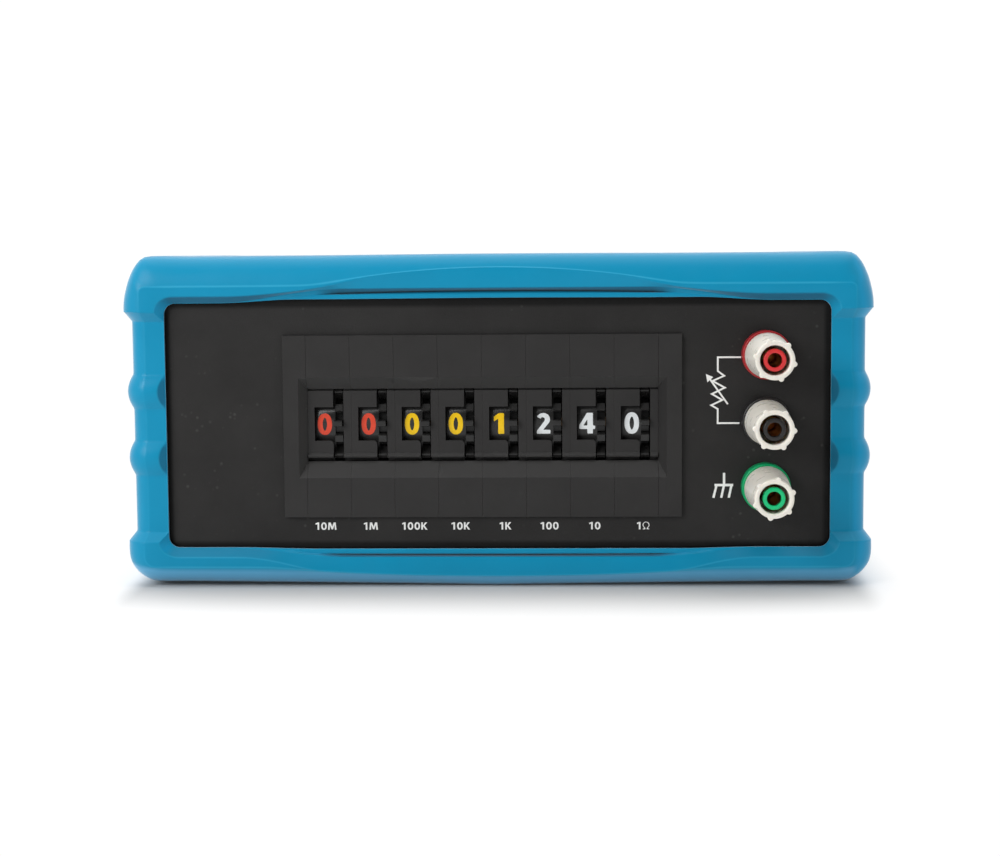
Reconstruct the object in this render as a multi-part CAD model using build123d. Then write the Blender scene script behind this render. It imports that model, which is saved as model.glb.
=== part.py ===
from build123d import *
import math
import os

# Eight-decade thumbwheel resistance box in a rubber boot.
# Millimetres. X runs to the right, Y runs from the front to the back, Z up.
# The origin is the middle of the overall box, at the level it stands on.

# ---------------------------------------------------------------- dimensions
BOOT_W = 217.4          # overall width over the boot
BOOT_H = 96.2           # overall height over the boot
BOOT_FRONT = -4.5       # boot front face, measured back from the panel face
BOOT_REAR = 111.5       # boot rear face, measured back from the panel face
RIM_FRONT = -28.3       # front rim of the terminal knobs, same datum
YP = -(RIM_FRONT + BOOT_REAR) / 2   # the panel's front face in the part's frame

WIN_W = 192.0           # boot window over the front panel
WIN_Z0, WIN_Z1 = 11.5, 82.6
WIN_R = 3.2
RWIN_W = 184.0          # boot window at the back
RWIN_Z0, RWIN_Z1 = 14.5, 82.0
SIDE_STEP = 2.6         # how far the boot's sides stand in between its bumpers
BUMP_LO, BUMP_HI = 12.7, 80.1   # edges of the lower and upper corner bumpers
RIB_Z = (37.3, 56.2)    # centres of the two grip ribs on each side
RIB_H = 9.0

CASE_W = 203.0          # plastic case inside the boot
CASE_Z0, CASE_Z1 = 5.7, 90.7
CASE_D0, CASE_D1 = -1.2, 106.2
CASE_T = 2.5
CASE_SPLIT = 48.2
CASE_R = 4.0
LIP_W = 195.0           # opening inside the case's front and rear lips
LIP_Z0, LIP_Z1 = 9.5, 85.0
PANEL_W = 199.6
PANEL_Z0, PANEL_Z1 = 7.4, 89.0
PANEL_T = 2.0
REAR_D0 = 102.0         # rear panel's inner face

PITCH = 12.7            # thumbwheel module pitch
N_MOD = 8
XM = -3.9               # middle of the switch bank
ZM = 46.6               # middle of the switch bank's flange
FL_H = 26.4             # half height of the flange
FL_D = -1.3             # flange front face
BODY_H = 22.9           # half height of a module behind the panel
BODY_D = 37.5           # back of a module
CHEEK = 6.7             # width of an end cheek's flange
FLOOR_D = 2.0           # fascia level in the recess
REC_OUT = (-57.06, 49.33, -14.9, 14.2)    # recess mouth: x0, x1, z0, z1 from ZM
REC_IN = (-54.7, 46.9, -10.4, 10.75)      # recess floor
AX_D, AX_Z = 17.0, ZM + 0.3               # wheel axis
RIDGE_R, LAND_R, ROOT_R = 16.75, 14.8, 12.3   # finger disc: narrow ridges, low lands between them, grooves
RIDGE_AT = 1.4          # degrees that the ridges stand above the figures
DRUM_R = 13.6
STAR_R = 10.0
AXLE_R, AXLE_BORE = 2.0, 2.06

POST_X = 77.6
# red, black and green posts stand on a 19.05 pitch, red on top
POST_PITCH = 19.05
COLLAR_R, COLLAR_T = 7.0, 4.5
WASH_R, WASH_T = 6.2, 0.85
KNOB_R0, KNOB_R1 = 6.7, 5.85
KNOB_BASE = -5.5
STUD_R = 3.0
TAIL_R = 2.5             # thinner tail of the stud behind the panel
SOCKET_R = 2.0          # 4 mm plug socket
SOCKET_D0, SOCKET_D1 = -25.3, -7.0
KNOB_BORE = 3.1
KNOB_MOUTH_R = 4.35

NAMES = ("10m", "1m", "100k", "10k", "1k", "100r", "10r", "1r")
COLOURS = ("red", "black", "green")
POST_Z = (47.85 + POST_PITCH, 47.85, 47.85 - POST_PITCH)

os.makedirs("parts", exist_ok=True)


def save(shape, name):
    export_step(shape, "parts/" + name + ".step")


def box(x0, x1, d0, d1, z0, z1):
    """A block; d is measured back from the front panel's face."""
    return Pos((x0 + x1) / 2, YP + (d0 + d1) / 2, (z0 + z1) / 2) * Box(x1 - x0, d1 - d0, z1 - z0)


def cyl_y(x, z, d0, d1, r, r2=None):
    if r2 is None:
        return Pos(x, YP + (d0 + d1) / 2, z) * Rot(90, 0, 0) * Cylinder(r, d1 - d0)
    # Rot(90) sends the cone's own +Z to -Y, so its bottom is at the back
    return Pos(x, YP + (d0 + d1) / 2, z) * Rot(90, 0, 0) * Cone(r2, r, d1 - d0)


def cyl_x(x0, x1, d, z, r):
    return Pos((x0 + x1) / 2, YP + d, z) * Rot(0, 90, 0) * Cylinder(r, x1 - x0)


def cyl_z(x, d, z0, z1, r):
    return Pos(x, YP + d, (z0 + z1) / 2) * Cylinder(r, z1 - z0)


def prism_x(pts, x0, x1):
    """pts are (d, z); extruded from x0 to x1."""
    face = Plane.YZ.offset(x0) * Polygon(*[(YP + d, z) for d, z in pts], align=None)
    return extrude(face, amount=x1 - x0, dir=(1, 0, 0))


def prism_y(pts, d0, d1):
    """pts are (x, z); extruded from d0 to d1."""
    pl = Plane(origin=(0, YP + d1, 0), x_dir=(1, 0, 0), z_dir=(0, -1, 0))
    return extrude(pl * Polygon(*pts, align=None), amount=d1 - d0, dir=(0, -1, 0))


def rrect_y(x0, x1, z0, z1, r, d0, d1):
    pl = Plane(origin=((x0 + x1) / 2, YP + d1, (z0 + z1) / 2), x_dir=(1, 0, 0), z_dir=(0, -1, 0))
    return extrude(pl * RectangleRounded(x1 - x0, z1 - z0, r), amount=d1 - d0)


def solids_of(shapes):
    out = []
    for s in shapes:
        out.extend(s.solids())
    return Compound(children=out)


# ------------------------------------------------------------- rubber boot
def make_boot():
    hw = BOOT_W / 2
    body = rrect_y(-hw, hw, 0, BOOT_H, 9.5, BOOT_FRONT, BOOT_REAR)
    ends = body.faces().filter_by(Axis.Y)
    edges = []
    for f in ends:
        edges.extend(f.outer_wire().edges())
    body = fillet(edges, 7.0)
    # the sides stand in between the corner bumpers, with a 45 degree run-out
    s = SIDE_STEP
    for sg in (-1, 1):
        pts = [(sg * hw, BUMP_LO), (sg * (hw - s), BUMP_LO + s + 0.2), (sg * (hw - s), BUMP_HI - s - 0.2),
               (sg * hw, BUMP_HI), (sg * (hw + 5), BUMP_HI), (sg * (hw + 5), BUMP_LO)]
        if sg > 0:
            pts = pts[::-1]
        body -= prism_y(pts, BOOT_FRONT - 1, BOOT_REAR + 1)
        # two half-round grip ribs
        for z in RIB_Z:
            chord, rise = RIB_H / 2, 1.6
            rr = (chord * chord + rise * rise) / (2 * rise)
            rib = cyl_y(sg * (hw - s + rise - rr), z, BOOT_FRONT + 3.2, BOOT_REAR - 3.2, rr)
            keep = box(min(sg * (hw - s - 1.2), sg * hw), max(sg * (hw - s - 1.2), sg * hw),
                       BOOT_FRONT, BOOT_REAR, z - 6, z + 6)
            body += rib & keep
    # room for the case
    body -= rrect_y(-CASE_W / 2 - 0.1, CASE_W / 2 + 0.1, CASE_Z0 - 0.1, CASE_Z1 + 0.1, CASE_R + 0.1, CASE_D0, CASE_D1)
    # windows front and back, with a splayed edge at the front
    body -= rrect_y(-WIN_W / 2, WIN_W / 2, WIN_Z0, WIN_Z1, WIN_R, BOOT_FRONT - 1, CASE_D0 + 1)
    e0 = RectangleRounded(WIN_W + 3.6, WIN_Z1 - WIN_Z0 + 3.6, WIN_R + 1.8)
    e1 = RectangleRounded(WIN_W - 0.2, WIN_Z1 - WIN_Z0 - 0.2, WIN_R)
    zc = (WIN_Z0 + WIN_Z1) / 2
    p0 = Plane(origin=(0, YP + BOOT_FRONT - 0.01, zc), x_dir=(1, 0, 0), z_dir=(0, -1, 0))
    p1 = Plane(origin=(0, YP + BOOT_FRONT + 2.1, zc), x_dir=(1, 0, 0), z_dir=(0, -1, 0))
    body -= loft([p0 * e0, p1 * e1])
    body -= rrect_y(-RWIN_W / 2, RWIN_W / 2, RWIN_Z0, RWIN_Z1, 4.0, CASE_D1 - 1, BOOT_REAR + 1)
    return body


save(make_boot(), "rubber_boot")


# -------------------------------------------------------------------- case
def make_case():
    hw = CASE_W / 2
    shell = rrect_y(-hw, hw, CASE_Z0, CASE_Z1, CASE_R, CASE_D0, CASE_D1)
    shell -= rrect_y(-hw + CASE_T, hw - CASE_T, CASE_Z0 + CASE_T, CASE_Z1 - CASE_T, 1.5, 3.6, 100.4)
    lip = rrect_y(-LIP_W / 2, LIP_W / 2, LIP_Z0, LIP_Z1, 1.5, CASE_D0 - 1, CASE_D1 + 1)
    shell -= lip
    # grooves that hold the two end panels
    g = 0.1
    for d0 in (0.0, REAR_D0):
        shell -= box(-PANEL_W / 2 - g, PANEL_W / 2 + g, d0, d0 + PANEL_T, PANEL_Z0 - g, PANEL_Z1 + g)
    top = shell & box(-hw - 1, hw + 1, CASE_D0 - 1, CASE_D1 + 1, CASE_SPLIT, CASE_Z1 + 1)
    bot = shell & box(-hw - 1, hw + 1, CASE_D0 - 1, CASE_D1 + 1, CASE_Z0 - 1, CASE_SPLIT)
    screws = []
    for x in (-92.0, 92.0):
        for d in (15.0, 91.0):
            top += cyl_z(x, d, CASE_SPLIT, CASE_Z1 - CASE_T + 0.5, 4.0) + box(
                min(x, math.copysign(hw - CASE_T + 0.5, x)), max(x, math.copysign(hw - CASE_T + 0.5, x)),
                d - 1.0, d + 1.0, CASE_SPLIT + 4, CASE_Z1 - CASE_T)
            top -= cyl_z(x, d, CASE_SPLIT - 1, 62.0, 1.55)
            bot += cyl_z(x, d, CASE_Z0 + 0.5, CASE_SPLIT, 4.6) + box(
                min(x, math.copysign(hw - CASE_T + 0.5, x)), max(x, math.copysign(hw - CASE_T + 0.5, x)),
                d - 1.0, d + 1.0, CASE_Z0 + 2, CASE_SPLIT - 4)
            bot -= cyl_z(x, d, CASE_Z0 - 1, 12.0, 3.2)
            bot -= cyl_z(x, d, 11.0, CASE_SPLIT + 1, 1.7)
            head = cyl_z(x, d, 9.6, 12.0, 2.9)
            head -= box(x - 2.2, x + 2.2, d - 0.35, d + 0.35, 9.0, 10.6)
            head -= box(x - 0.35, x + 0.35, d - 2.2, d + 2.2, 9.0, 10.6)
            screws.append(head + cyl_z(x, d, 12.0, 60.0, 1.5))
    # stiffening ribs across the floor and the roof
    for d in (40.0, 72.0):
        bot += box(-hw + 2, hw - 2, d, d + 2, CASE_Z0 + 1.5, CASE_Z0 + CASE_T + 4.0)
        top += box(-hw + 2, hw - 2, d, d + 2, CASE_Z1 - CASE_T - 4.0, CASE_Z1 - 1.5)
    return top, bot, screws


case_top, case_bottom, case_screws = make_case()
save(case_top, "case_top")
save(case_bottom, "case_bottom")
save(solids_of(case_screws), "case_screws")

# ------------------------------------------------------------- end panels
panel = box(-PANEL_W / 2, PANEL_W / 2, 0, PANEL_T, PANEL_Z0, PANEL_Z1)
panel -= box(XM - 4 * PITCH - 2.7, XM + 4 * PITCH + 2.7, -1, PANEL_T + 1, ZM - BODY_H - 0.1, ZM + BODY_H + 0.1)
for z in POST_Z:
    panel -= cyl_y(POST_X, z, -1, PANEL_T + 1, 4.6)
save(panel, "front_panel")

rear = box(-PANEL_W / 2, PANEL_W / 2, REAR_D0, REAR_D0 + PANEL_T, PANEL_Z0, PANEL_Z1)
EARTH_X, EARTH_Z = 78.0, 26.0
rear -= cyl_y(EARTH_X, EARTH_Z, REAR_D0 - 1, REAR_D0 + PANEL_T + 1, 1.6)
save(rear, "rear_panel")

# --------------------------------------------------------- switch modules
# the one tapered recess that runs across all modules and both end cheeks
ro, ri = REC_OUT, REC_IN


def frustum():
    d0, d1 = FL_D - 0.001, FLOOR_D
    pl0 = Plane(origin=((ro[0] + ro[1]) / 2, YP + d0, ZM + (ro[2] + ro[3]) / 2), x_dir=(1, 0, 0), z_dir=(0, -1, 0))
    pl1 = Plane(origin=((ri[0] + ri[1]) / 2, YP + d1, ZM + (ri[2] + ri[3]) / 2), x_dir=(1, 0, 0), z_dir=(0, -1, 0))
    return loft([pl0 * Rectangle(ro[1] - ro[0], ro[3] - ro[2]), pl1 * Rectangle(ri[1] - ri[0], ri[3] - ri[2])])


RECESS = frustum()


def make_body(u0):
    """One module; u0 is its left joint line in X."""
    a, b = u0 + 0.015, u0 + PITCH - 0.015
    body = box(a, b, FL_D, BODY_D, ZM - BODY_H, ZM + BODY_H)
    body += box(a, b, FL_D, 0, ZM - FL_H, ZM + FL_H)
    # hairline joints: the flange edges of each module are eased
    e = 0.07
    for x, s in ((a, 1), (b, -1)):
        tri = [(x - s * 0.02, FL_D - 0.02), (x + s * e, FL_D - 0.02), (x - s * 0.02, FL_D + e)]
        face = Plane(origin=(0, YP, ZM - FL_H - 1), x_dir=(1, 0, 0), z_dir=(0, 0, 1)) * Polygon(*tri, align=None)
        body -= extrude(face, amount=2 * FL_H + 2, dir=(0, 0, 1))
    body -= RECESS
    # narrow dark groove under the upper bevel, and a sloping bead along the fascia's lower edge over a wider groove
    body -= prism_x([(1.0, ZM + 10.2), (3.2, ZM + 10.2), (3.2, ZM + 10.76), (1.0, ZM + 10.76)], a - 1, b + 1)
    body -= prism_x([(1.0, ZM - 9.3), (4.6, ZM - 9.35), (4.6, ZM - 10.41), (1.0, ZM - 10.41)][::-1], a - 1, b + 1)
    body += prism_x([(FLOOR_D + 1.0, ZM - 7.9), (FLOOR_D, ZM - 7.9), (FLOOR_D - 0.16, ZM - 8.0), (FLOOR_D - 0.78, ZM - 8.62),
                     (FLOOR_D - 0.9, ZM - 8.82), (FLOOR_D - 0.9, ZM - 9.0), (FLOOR_D - 0.78, ZM - 9.18), (FLOOR_D - 0.55, ZM - 9.3),
                     (FLOOR_D + 1.0, ZM - 9.33)][::-1], a, b)
    # digit window, open into the slot of the finger disc
    w = prism_y([(u0 + 1.95, ZM - 4.4), (u0 + 6.5, ZM - 4.4), (u0 + 6.95, ZM - 4.57), (u0 + 7.28, ZM - 4.95),
                 (u0 + 7.4, ZM - 5.45), (u0 + 8.2, ZM - 5.45), (u0 + 8.2, ZM + 5.4), (u0 + 1.95, ZM + 5.4)], 1.0, 7.0)
    body -= w
    body -= box(u0 + 7.4, u0 + 10.42, 0.5, 12.0, ZM - 10.4, ZM + 10.75)
    # room for the drum, the finger disc and the detent star
    body -= cyl_x(u0 + 1.95, u0 + 7.6, AX_D, AX_Z, DRUM_R + 0.4)
    body -= cyl_x(u0 + 7.4, u0 + 10.42, AX_D, AX_Z, RIDGE_R + 0.45)
    body -= cyl_x(u0 + 1.1, u0 + 1.96, AX_D, AX_Z, STAR_R + 0.5)
    body -= cyl_x(u0 + 10.3, u0 + 11.3, AX_D, AX_Z, 13.2)
    # seat of the detent spring
    body -= box(u0 + 1.1, u0 + 1.96, AX_D + 8, AX_D + 13.4, AX_Z - 13, AX_Z + 13)
    # the right-hand side is open for the contact board
    body -= box(u0 + 11.2, u0 + PITCH + 1, 5.0, BODY_D + 1, AX_Z - 17.05, AX_Z + 17.05)
    # axle for the wheel, and holes for the tie rods
    body += cyl_x(u0 + 0.8, u0 + 11.2, AX_D, AX_Z, AXLE_R)
    for s in (-1, 1):
        body -= cyl_x(u0 - 1, u0 + PITCH + 1, 12.0, ZM + s * 19.9, 1.4)
    return body


def make_wheel(u0):
    """Drum with the ten figures, finger disc and detent star in one moulding."""
    drum = cyl_x(u0 + 2.15, u0 + 7.85, AX_D, AX_Z, DRUM_R)
    drum -= cyl_x(u0 + 2.0, u0 + 5.2, AX_D, AX_Z, DRUM_R - 1.6) - cyl_x(u0 + 1.9, u0 + 5.3, AX_D, AX_Z, 4.2)

    def rim(profile):
        pts = []
        for k in range(10):
            for r, off in profile:
                a = math.radians(36 * k + RIDGE_AT + off)
                pts.append((AX_D - r * math.cos(a), AX_Z + r * math.sin(a)))
        return pts

    disc = prism_x(rim(((ROOT_R, -5.0), (ROOT_R, 5.0), (ROOT_R, 12.9), (LAND_R - 0.25, 13.4), (LAND_R, 14.3), (LAND_R, 21.7),
                        (LAND_R - 0.25, 22.6), (ROOT_R, 23.1))), u0 + 7.8, u0 + 10.1)
    disc += prism_x(rim(((ROOT_R, -4.6), (RIDGE_R - 0.35, -3.1), (RIDGE_R - 0.08, -2.5), (RIDGE_R, -1.7), (RIDGE_R, 1.7),
                         (RIDGE_R - 0.08, 2.5), (RIDGE_R - 0.35, 3.1), (ROOT_R, 4.6))), u0 + 7.7, u0 + 10.1)
    star = []
    for k in range(10):
        t = 2 * math.pi * (k + 0.5) / 10
        for r, off in ((STAR_R, -11.0), (STAR_R, 11.0), (STAR_R - 1.1, 16.0), (STAR_R - 1.1, 20.0)):
            a = t + math.radians(off)
            star.append((AX_D - r * math.cos(a), AX_Z + r * math.sin(a)))
    st = prism_x(star, u0 + 1.2, u0 + 1.85) + cyl_x(u0 + 1.8, u0 + 2.25, AX_D, AX_Z, 6.0)
    wheel = drum + disc + st
    wheel -= cyl_x(u0 + 1, u0 + 11, AX_D, AX_Z, AXLE_BORE)
    return wheel


def make_wiper(u0):
    """Sprung contact fork on the wheel's right-hand face."""
    x0, x1 = u0 + 10.1, u0 + 10.4
    w = cyl_x(x0, x1, AX_D, AX_Z, 5.0)
    w += prism_x([(AX_D, AX_Z - 1.2), (AX_D + 12.2, AX_Z - 1.2), (AX_D + 12.2, AX_Z + 1.2), (AX_D, AX_Z + 1.2)][::-1], x0, x1)
    w += prism_x([(AX_D - 8.2, AX_Z - 1.2), (AX_D, AX_Z - 1.2), (AX_D, AX_Z + 1.2), (AX_D - 8.2, AX_Z + 1.2)][::-1], x0, x1)
    w += cyl_x(x1 - 0.1, u0 + 11.1, AX_D + 11.0, AX_Z, 0.9)
    w += cyl_x(x1 - 0.1, u0 + 11.1, AX_D - 7.0, AX_Z, 0.9)
    w -= cyl_x(u0 + 9, u0 + 12, AX_D, AX_Z, 2.4)
    return w


boards, springs, resistors = [], [], []
for i, nm in enumerate(NAMES):
    u0 = XM + (i - N_MOD / 2) * PITCH
    save(make_body(u0), "switch_body_" + nm)
    save(make_wheel(u0), "thumbwheel_" + nm)
    save(make_wiper(u0), "wiper_" + nm)
    b = box(u0 + 11.25, u0 + 12.25, 5.1, 56.0, AX_Z - 16.95, AX_Z + 16.95)
    b -= cyl_x(u0 + 11, u0 + 13, AX_D, AX_Z, 1.5)
    boards.append(b)
    # leaf spring with a vee nose, lying just clear of the star's lobes
    n = AX_D + STAR_R + 0.2
    springs.append(prism_x([(n + 2.6, AX_Z - 12.8), (n + 3.0, AX_Z - 12.8), (n + 1.9, AX_Z - 1.4), (n + 0.5, AX_Z), (n + 1.9, AX_Z + 1.4),
                            (n + 3.0, AX_Z + 12.8), (n + 2.6, AX_Z + 12.8), (n + 1.5, AX_Z + 1.6), (n, AX_Z), (n + 1.5, AX_Z - 1.6)][::-1],
                           u0 + 1.2, u0 + 1.85))
    for k in range(9):
        z = AX_Z + (k - 4) * 3.5
        r = cyl_y(u0 + 9.95, z, 42.0, 48.6, 1.15) + cyl_y(u0 + 9.95, z, 41.6, 43.2, 1.28) + cyl_y(u0 + 9.95, z, 47.4, 49.0, 1.28)
        r += cyl_y(u0 + 9.95, z, 39.9, 41.7, 0.3) + cyl_y(u0 + 9.95, z, 48.9, 50.7, 0.3)
        r += cyl_x(u0 + 9.95, u0 + 11.25, 39.9, z, 0.3) + cyl_x(u0 + 9.95, u0 + 11.25, 50.7, z, 0.3)
        resistors.append(r)
save(solids_of(boards), "contact_boards")
save(solids_of(springs), "detent_springs")
save(solids_of(resistors), "resistors")

# link board across the tails of the contact boards
save(box(XM - 4 * PITCH - 3, XM + 4 * PITCH + 3, 56.0, 57.6, AX_Z - 12, AX_Z + 12), "link_board")


def make_cheek(sg):
    """End cheek of the bank: flange, side plate and a snap lug behind the panel."""
    xi = XM + sg * (4 * PITCH + 0.04)
    xo = XM + sg * (4 * PITCH + CHEEK)
    xs = XM + sg * (4 * PITCH + 2.6)
    c = box(min(xi, xo), max(xi, xo), FL_D, 0, ZM - FL_H, ZM + FL_H)
    c += box(min(xi, xs), max(xi, xs), FL_D, BODY_D, ZM - BODY_H, ZM + BODY_H)
    c += box(min(xs - sg * 0.2, xs + sg * 2.0), max(xs - sg * 0.2, xs + sg * 2.0), PANEL_T, PANEL_T + 4, ZM - 6, ZM + 6)
    c -= RECESS
    for s in (-1, 1):
        c -= cyl_x(min(xi, xo) - 1, max(xi, xo) + 1, 12.0, ZM + s * 19.9, 1.4)
    return c


save(make_cheek(-1), "end_cheek_left")
save(make_cheek(1), "end_cheek_right")

rods, nuts = [], []
XR0, XR1 = XM - 4 * PITCH - 2.6, XM + 4 * PITCH + 2.6
for s in (-1, 1):
    z = ZM + s * 19.9
    rods.append(cyl_x(XR0 - 3.2, XR1 + 3.2, 12.0, z, 1.25))
    for x0, x1 in ((XR0 - 2.2, XR0), (XR1, XR1 + 2.2)):
        h = Plane.YZ.offset(x0) * Pos(YP + 12.0, z) * RegularPolygon(2.9, 6)
        nuts.append(extrude(h, amount=x1 - x0) - cyl_x(x0 - 1, x1 + 1, 12.0, z, 1.27))
save(solids_of(rods), "tie_rods")
save(solids_of(nuts), "tie_rod_nuts")

# --------------------------------------------------------- terminal posts
bushes, pnuts, tags = [], [], []
for colour, z in zip(COLOURS, POST_Z):
    x = POST_X
    collar = cyl_y(x, z, -COLLAR_T, 0, COLLAR_R) + cyl_y(x, z, -0.5, PANEL_T, 4.5)
    collar -= cyl_y(x, z, -COLLAR_T - 1, PANEL_T + 1, STUD_R + 0.02)
    save(collar, "collar_" + colour)

    stud = cyl_y(x, z, SOCKET_D0, PANEL_T, STUD_R) + cyl_y(x, z, PANEL_T - 0.5, 14.0, TAIL_R)
    stud -= cyl_y(x, z, SOCKET_D0 - 1, SOCKET_D1, SOCKET_R)
    save(stud, "stud_" + colour)

    tip = cyl_y(x, z, SOCKET_D0 - 2.0, SOCKET_D0, 3.15) - cyl_y(x, z, SOCKET_D0 - 3, SOCKET_D0 + 1, SOCKET_R)
    save(tip, "socket_tip_" + colour)

    wash = cyl_y(x, z, -COLLAR_T - 0.05 - WASH_T, -COLLAR_T - 0.05, WASH_R) - cyl_y(x, z, -COLLAR_T - 2, -COLLAR_T + 1, STUD_R + 0.1)
    save(wash, "pressure_washer_" + colour)

    knob = cyl_y(x, z, RIM_FRONT, KNOB_BASE, KNOB_R1, KNOB_R0)
    for k in range(6):
        a = math.radians(15 + 60 * k)
        rx, rz = math.cos(a), math.sin(a)
        knob += cyl_y(x + rx * (KNOB_R1 - 0.05), z + rz * (KNOB_R1 - 0.05), RIM_FRONT, RIM_FRONT + 2.6, 0.62)
    knob -= cyl_y(x, z, RIM_FRONT - 1, KNOB_BASE + 1, KNOB_BORE)
    knob -= cyl_y(x, z, RIM_FRONT - 1, -17.0, KNOB_MOUTH_R)
    save(knob, "knob_" + colour)

    bushes.append(cyl_y(x, z, PANEL_T, 4.4, 5.6) - cyl_y(x, z, PANEL_T - 1, 5.4, TAIL_R + 0.05))
    for d0 in (4.4, 8.4):
        pl = Plane(origin=(x, YP + d0 + 3.2, z), x_dir=(1, 0, 0), z_dir=(0, -1, 0))
        pnuts.append(extrude(pl * RegularPolygon(4.5, 6), amount=3.2) - cyl_y(x, z, d0 - 1, d0 + 4.2, TAIL_R + 0.02))
    tag = cyl_y(x, z, 7.6, 8.4, 4.2) + box(x - 1.6, x + 1.6, 7.6, 8.4, z - 8.5, z)
    tag += box(x - 1.6, x + 1.6, 7.6, 16.0, z - 8.5, z - 7.7)
    tag -= cyl_y(x, z, 7, 9, TAIL_R + 0.05)
    tags.append(tag)
# earth tag and screw on the rear panel
tags.append(box(EARTH_X - 2.6, EARTH_X + 2.6, REAR_D0 - 0.8, REAR_D0, EARTH_Z - 3, EARTH_Z + 9) - cyl_y(EARTH_X, EARTH_Z, REAR_D0 - 2, REAR_D0 + 1, 1.6))
save(solids_of(bushes), "post_bushes")
save(solids_of(pnuts), "post_nuts")
save(solids_of(tags), "solder_tags")

head = cyl_y(EARTH_X, EARTH_Z, REAR_D0 + PANEL_T, REAR_D0 + PANEL_T + 1.9, 2.9)
head -= box(EARTH_X - 2.2, EARTH_X + 2.2, REAR_D0 + PANEL_T + 1.0, REAR_D0 + PANEL_T + 3, EARTH_Z - 0.35, EARTH_Z + 0.35)
head -= box(EARTH_X - 0.35, EARTH_X + 0.35, REAR_D0 + PANEL_T + 1.0, REAR_D0 + PANEL_T + 3, EARTH_Z - 2.2, EARTH_Z + 2.2)
screw = head + cyl_y(EARTH_X, EARTH_Z, REAR_D0 - 6.0, REAR_D0 + PANEL_T, 1.5)
pl = Plane(origin=(EARTH_X, YP + REAR_D0 - 0.8, EARTH_Z), x_dir=(1, 0, 0), z_dir=(0, -1, 0))
enut = extrude(pl * RegularPolygon(3.2, 6), amount=2.4) - cyl_y(EARTH_X, EARTH_Z, REAR_D0 - 5, REAR_D0, 1.52)
save(solids_of([screw, enut]), "earth_screw")


# ------------------------------------------------------------------- wires


zr, zb, zg = POST_Z


def route(pts, r=0.8):
    """Tube along straight runs joined by tangent arcs, each as large as its two runs allow."""
    v = [Vector(x, YP + d, z) for x, d, z in pts]
    rad = []
    for i in range(1, len(v) - 1):
        a, b = v[i] - v[i - 1], v[i + 1] - v[i]
        turn = a.get_angle(b)
        rad.append(0.45 * min(a.length, b.length) / math.tan(math.radians(turn) / 2))
    print("radii", [round(q, 1) for q in rad])
    path = FilletPolyline(*v, radius=rad)
    tube = sweep(Plane(origin=path @ 0, z_dir=path % 0) * Circle(r), path=path)
    print("wire length", round(path.length, 1), "volume ratio", round(tube.volume / (math.pi * r * r * path.length), 4))
    return tube


save(route([(POST_X, 16.0, zr - 8.1), (POST_X, 36, zr - 8.1), (70, 54, 62), (52, 66, 63.5), (16, 71, 61.5), (-24, 70, 62.5), (-47, 72, 57), (-51, 67, 54), (-51, 57.6, 54)]),
     "hookup_wire_red")
save(route([(POST_X, 16.0, zb - 8.1), (POST_X, 36, zb - 8.1), (72, 54, 42.5), (60, 66, 44), (46, 70, 45.5), (42, 66, 47), (42, 57.6, 47)]),
     "hookup_wire_black")
save(route([(POST_X, 16.0, zg - 8.1), (POST_X, 34, zg - 8.1), (80, 52, 17.5), (76, 70, 16.0), (79, 84, 22), (EARTH_X, 92, 32), (EARTH_X, 101.2, 32)]),
     "hookup_wire_green")
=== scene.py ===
import math
import bpy
import bmesh
from mathutils import Matrix, Vector
from mathutils.geometry import tessellate_polygon


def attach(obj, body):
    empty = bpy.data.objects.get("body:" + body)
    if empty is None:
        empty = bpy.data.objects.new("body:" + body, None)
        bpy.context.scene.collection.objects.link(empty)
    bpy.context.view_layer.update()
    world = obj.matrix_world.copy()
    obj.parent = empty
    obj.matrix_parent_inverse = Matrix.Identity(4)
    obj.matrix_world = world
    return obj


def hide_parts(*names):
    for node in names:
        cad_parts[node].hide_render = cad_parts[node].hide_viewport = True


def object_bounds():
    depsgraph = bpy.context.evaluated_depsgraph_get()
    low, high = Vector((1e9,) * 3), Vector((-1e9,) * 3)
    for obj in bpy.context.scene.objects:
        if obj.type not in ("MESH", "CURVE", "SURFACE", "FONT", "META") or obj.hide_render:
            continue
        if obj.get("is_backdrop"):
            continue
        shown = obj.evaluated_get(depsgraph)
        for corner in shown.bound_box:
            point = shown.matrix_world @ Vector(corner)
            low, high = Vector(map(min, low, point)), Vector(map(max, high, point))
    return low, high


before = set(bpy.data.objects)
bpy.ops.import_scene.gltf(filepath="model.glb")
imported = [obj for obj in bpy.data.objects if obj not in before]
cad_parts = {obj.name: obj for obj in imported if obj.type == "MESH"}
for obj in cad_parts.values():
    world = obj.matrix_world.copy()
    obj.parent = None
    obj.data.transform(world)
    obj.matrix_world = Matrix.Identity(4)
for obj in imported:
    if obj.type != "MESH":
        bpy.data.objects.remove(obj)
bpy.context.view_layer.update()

# Lengths below are in millimetres until P() turns them into metres.
# x runs right, z up, d is the distance behind the front panel's face.
YP = -41.6
XM, ZM, PITCH = -3.9, 46.6, 12.7
AX_D, AX_Z = 17.0, 46.9
POST_X, POST_Z = 77.6, {"red": 66.9, "black": 47.85, "green": 28.8}
NAMES = ("10m", "1m", "100k", "10k", "1k", "100r", "10r", "1r")
READING = (0, 0, 0, 0, 1, 2, 4, 0)


def P(x, d, z):
    return Vector((x / 1000, (YP + d) / 1000, z / 1000))


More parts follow.
